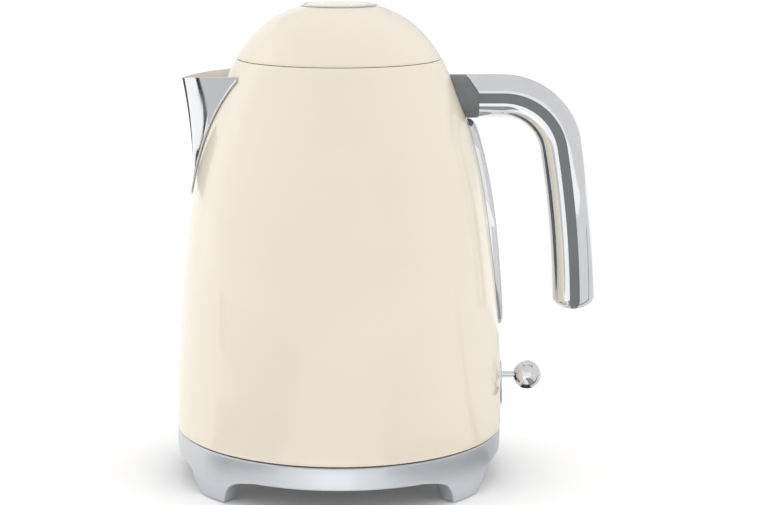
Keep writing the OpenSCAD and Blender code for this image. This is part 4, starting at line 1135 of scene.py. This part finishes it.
@dataclass
class Studio:
    """The flat white paper floor, the lamps, the cards that chrome reflects, and the world.

    Attributes:
        paper_colour: sRGB colour of the paper on the floor.
        paper_lift: Glow that keeps the paper white to the eye.
        glow: Strength of the light from all round.
        front: How much of it is missing in front of the object and behind it.
        sun: Strength of the broad key light.
        strip: Watts of the tall softbox at the left.
        matt: Roughness of the paper and of the cards' felt.
        extent: Half of the paper's length.
        aim: Point that the lamps face.
    """

    paper_colour: str = "#FDFDFD"
    paper_lift: float = 0.08
    glow: float = 1.41
    front: float = 0.6
    sun: float = 0.1
    strip: float = 0.5
    matt: float = 0.9
    extent: float = 6000.0
    aim: Point = (0, 0, 120)

    def build_world(self) -> None:
        """Lights the object most from both sides, with white to the camera and in reflections."""
        world = bpy.data.worlds.new("studio")
        bpy.context.scene.world = world
        world.use_nodes = True
        tree = world.node_tree
        tree.nodes.clear()
        way = add_node(tree, "TexCoord").outputs["Generated"]
        split = add_node(tree, "SeparateXYZ", Vector=way)
        depth = add_node(tree, "Math", {"operation": "ABSOLUTE"}, i0=split.outputs["Y"]).outputs[0]
        smooth = {"interpolation_type": "SMOOTHSTEP"}
        ends = {"To_Min": self.glow, "To_Max": self.glow * (1 - self.front)}
        level = add_node(tree, "MapRange", smooth, Value=depth, **ends).outputs["Result"]
        light, white = [
            add_node(tree, "Background", Color=linear("#FFFFFF"), Strength=strength).outputs[0]
            for strength in (level, 1.0)
        ]
        mixed = add_node(tree, "MixShader", i0=seen_directly(tree), i1=light, i2=white)
        add_node(tree, "OutputWorld", Surface=mixed.outputs[0])

    def build_floor(self) -> None:
        """Lays a plain pale floor that keeps the object's shadow."""
        a = self.extent
        floor = make_piece("floor", flat(0, (-a, -a), (a, -a), (a, a), (-a, a)), [[0, 1, 2, 3]])
        paper, tree, shader = new_material("floor_paper_matt")
        times = {"operation": "MULTIPLY"}
        lift = add_node(tree, "Math", times, i0=seen_directly(tree), i1=self.paper_lift)
        feed(
            shader, Base_Color=linear(self.paper_colour), Roughness=self.matt, Specular_IOR_Level=0.1,
            Emission_Color=linear("#FFFFFF"), Emission_Strength=lift.outputs[0],
        )
        floor.data.materials.append(paper)

    def add_lamp(self, name: str, kind: str, place: Point, settings: dict) -> None:
        """Adds a lamp that faces the middle of the object.

        Args:
            name: Name of the lamp.
            kind: Blender's type of light.
            place: Where it stands.
            settings: Attributes of the light, by name.
        """
        light = bpy.data.lights.new(name, kind)
        for key, value in settings.items():
            setattr(light, key, value)
        lamp = bpy.data.objects.new(name, light)
        bpy.context.scene.collection.objects.link(lamp)
        lamp.location = Vector(place) * MM
        lamp.rotation_euler = (Vector(self.aim) - Vector(place)).to_track_quat("-Z", "Y").to_euler()

    def add_card(self, name: str, colour: str, glow: float, corners: list[Point]) -> None:
        """Sets up a card that only reflections show.

        Args:
            name: Name of the card.
            colour: sRGB colour of its felt.
            glow: Strength of its own light.
            corners: Its corners.
        """
        card = make_piece(name, corners, [list(range(len(corners)))])
        felt, _, shader = new_material(name + "_felt")
        tone = linear(colour)
        feed(shader, Base_Color=tone, Roughness=self.matt, Emission_Color=tone, Emission_Strength=glow)
        card.data.materials.append(felt)
        card.visible_camera = card.visible_diffuse = card.visible_shadow = card.visible_transmission = False

    def build(self) -> None:
        """Builds the world, the floor, the lamps and the cards."""
        self.build_world()
        self.build_floor()
        self.add_lamp("key", "SUN", (1200, -900, 1300), {"energy": self.sun, "angle": radians(60)})
        strip = {"shape": "RECTANGLE", "size": 0.5, "size_y": 1.3, "energy": self.strip}
        self.add_lamp("strip", "AREA", (-1250, 480, 600), strip)
        for name, card in CARDS.items():
            self.add_card(name, *card)


@dataclass
class ViewingCamera:
    """The camera at the viewing angle.

    Attributes:
        back: Distance in front of the jug's axis.
        height: Height above the worktop.
        tilt: Angle that it looks down, in degrees.
        focal_px: Focal length in pixels of a picture that is frame_px wide.
        frame_px: Width of that picture.
        axis_px: Column at which the jug's axis appears.
    """

    back: float = 1022.0
    height: float = 320.0
    tilt: float = 11.22
    focal_px: float = 1993.0
    frame_px: float = 773.0
    axis_px: float = 338.9

    def build(self) -> None:
        """Builds the camera and makes it the scene's own."""
        data = bpy.data.cameras.new("camera")
        camera = bpy.data.objects.new("camera", data)
        bpy.context.scene.collection.objects.link(camera)
        camera.location = (AXIS_X * MM, -self.back * MM, self.height * MM)
        camera.rotation_euler = (radians(90 - self.tilt), 0, 0)
        data.sensor_width = 36.0
        data.lens = data.sensor_width * self.focal_px / self.frame_px
        data.shift_x = (self.frame_px / 2 - self.axis_px) / self.frame_px
        bpy.context.scene.camera = camera


def main() -> None:
    """Builds the camera, the studio and every sub-assembly."""
    logging.basicConfig(level=logging.INFO, format="%(name)s: %(message)s")
    bpy.context.scene.view_settings.view_transform = "Standard"
    ViewingCamera().build()
    Studio().build()
    spout, gauge = Spout(), Gauge()
    Jug().build(spout, gauge)
    for part in (Lid(), spout, gauge, Handle(), PowerLever(), PowerBase()):
        part.build()
    dress_kept_nodes()


if __name__ == "__main__":
    main()
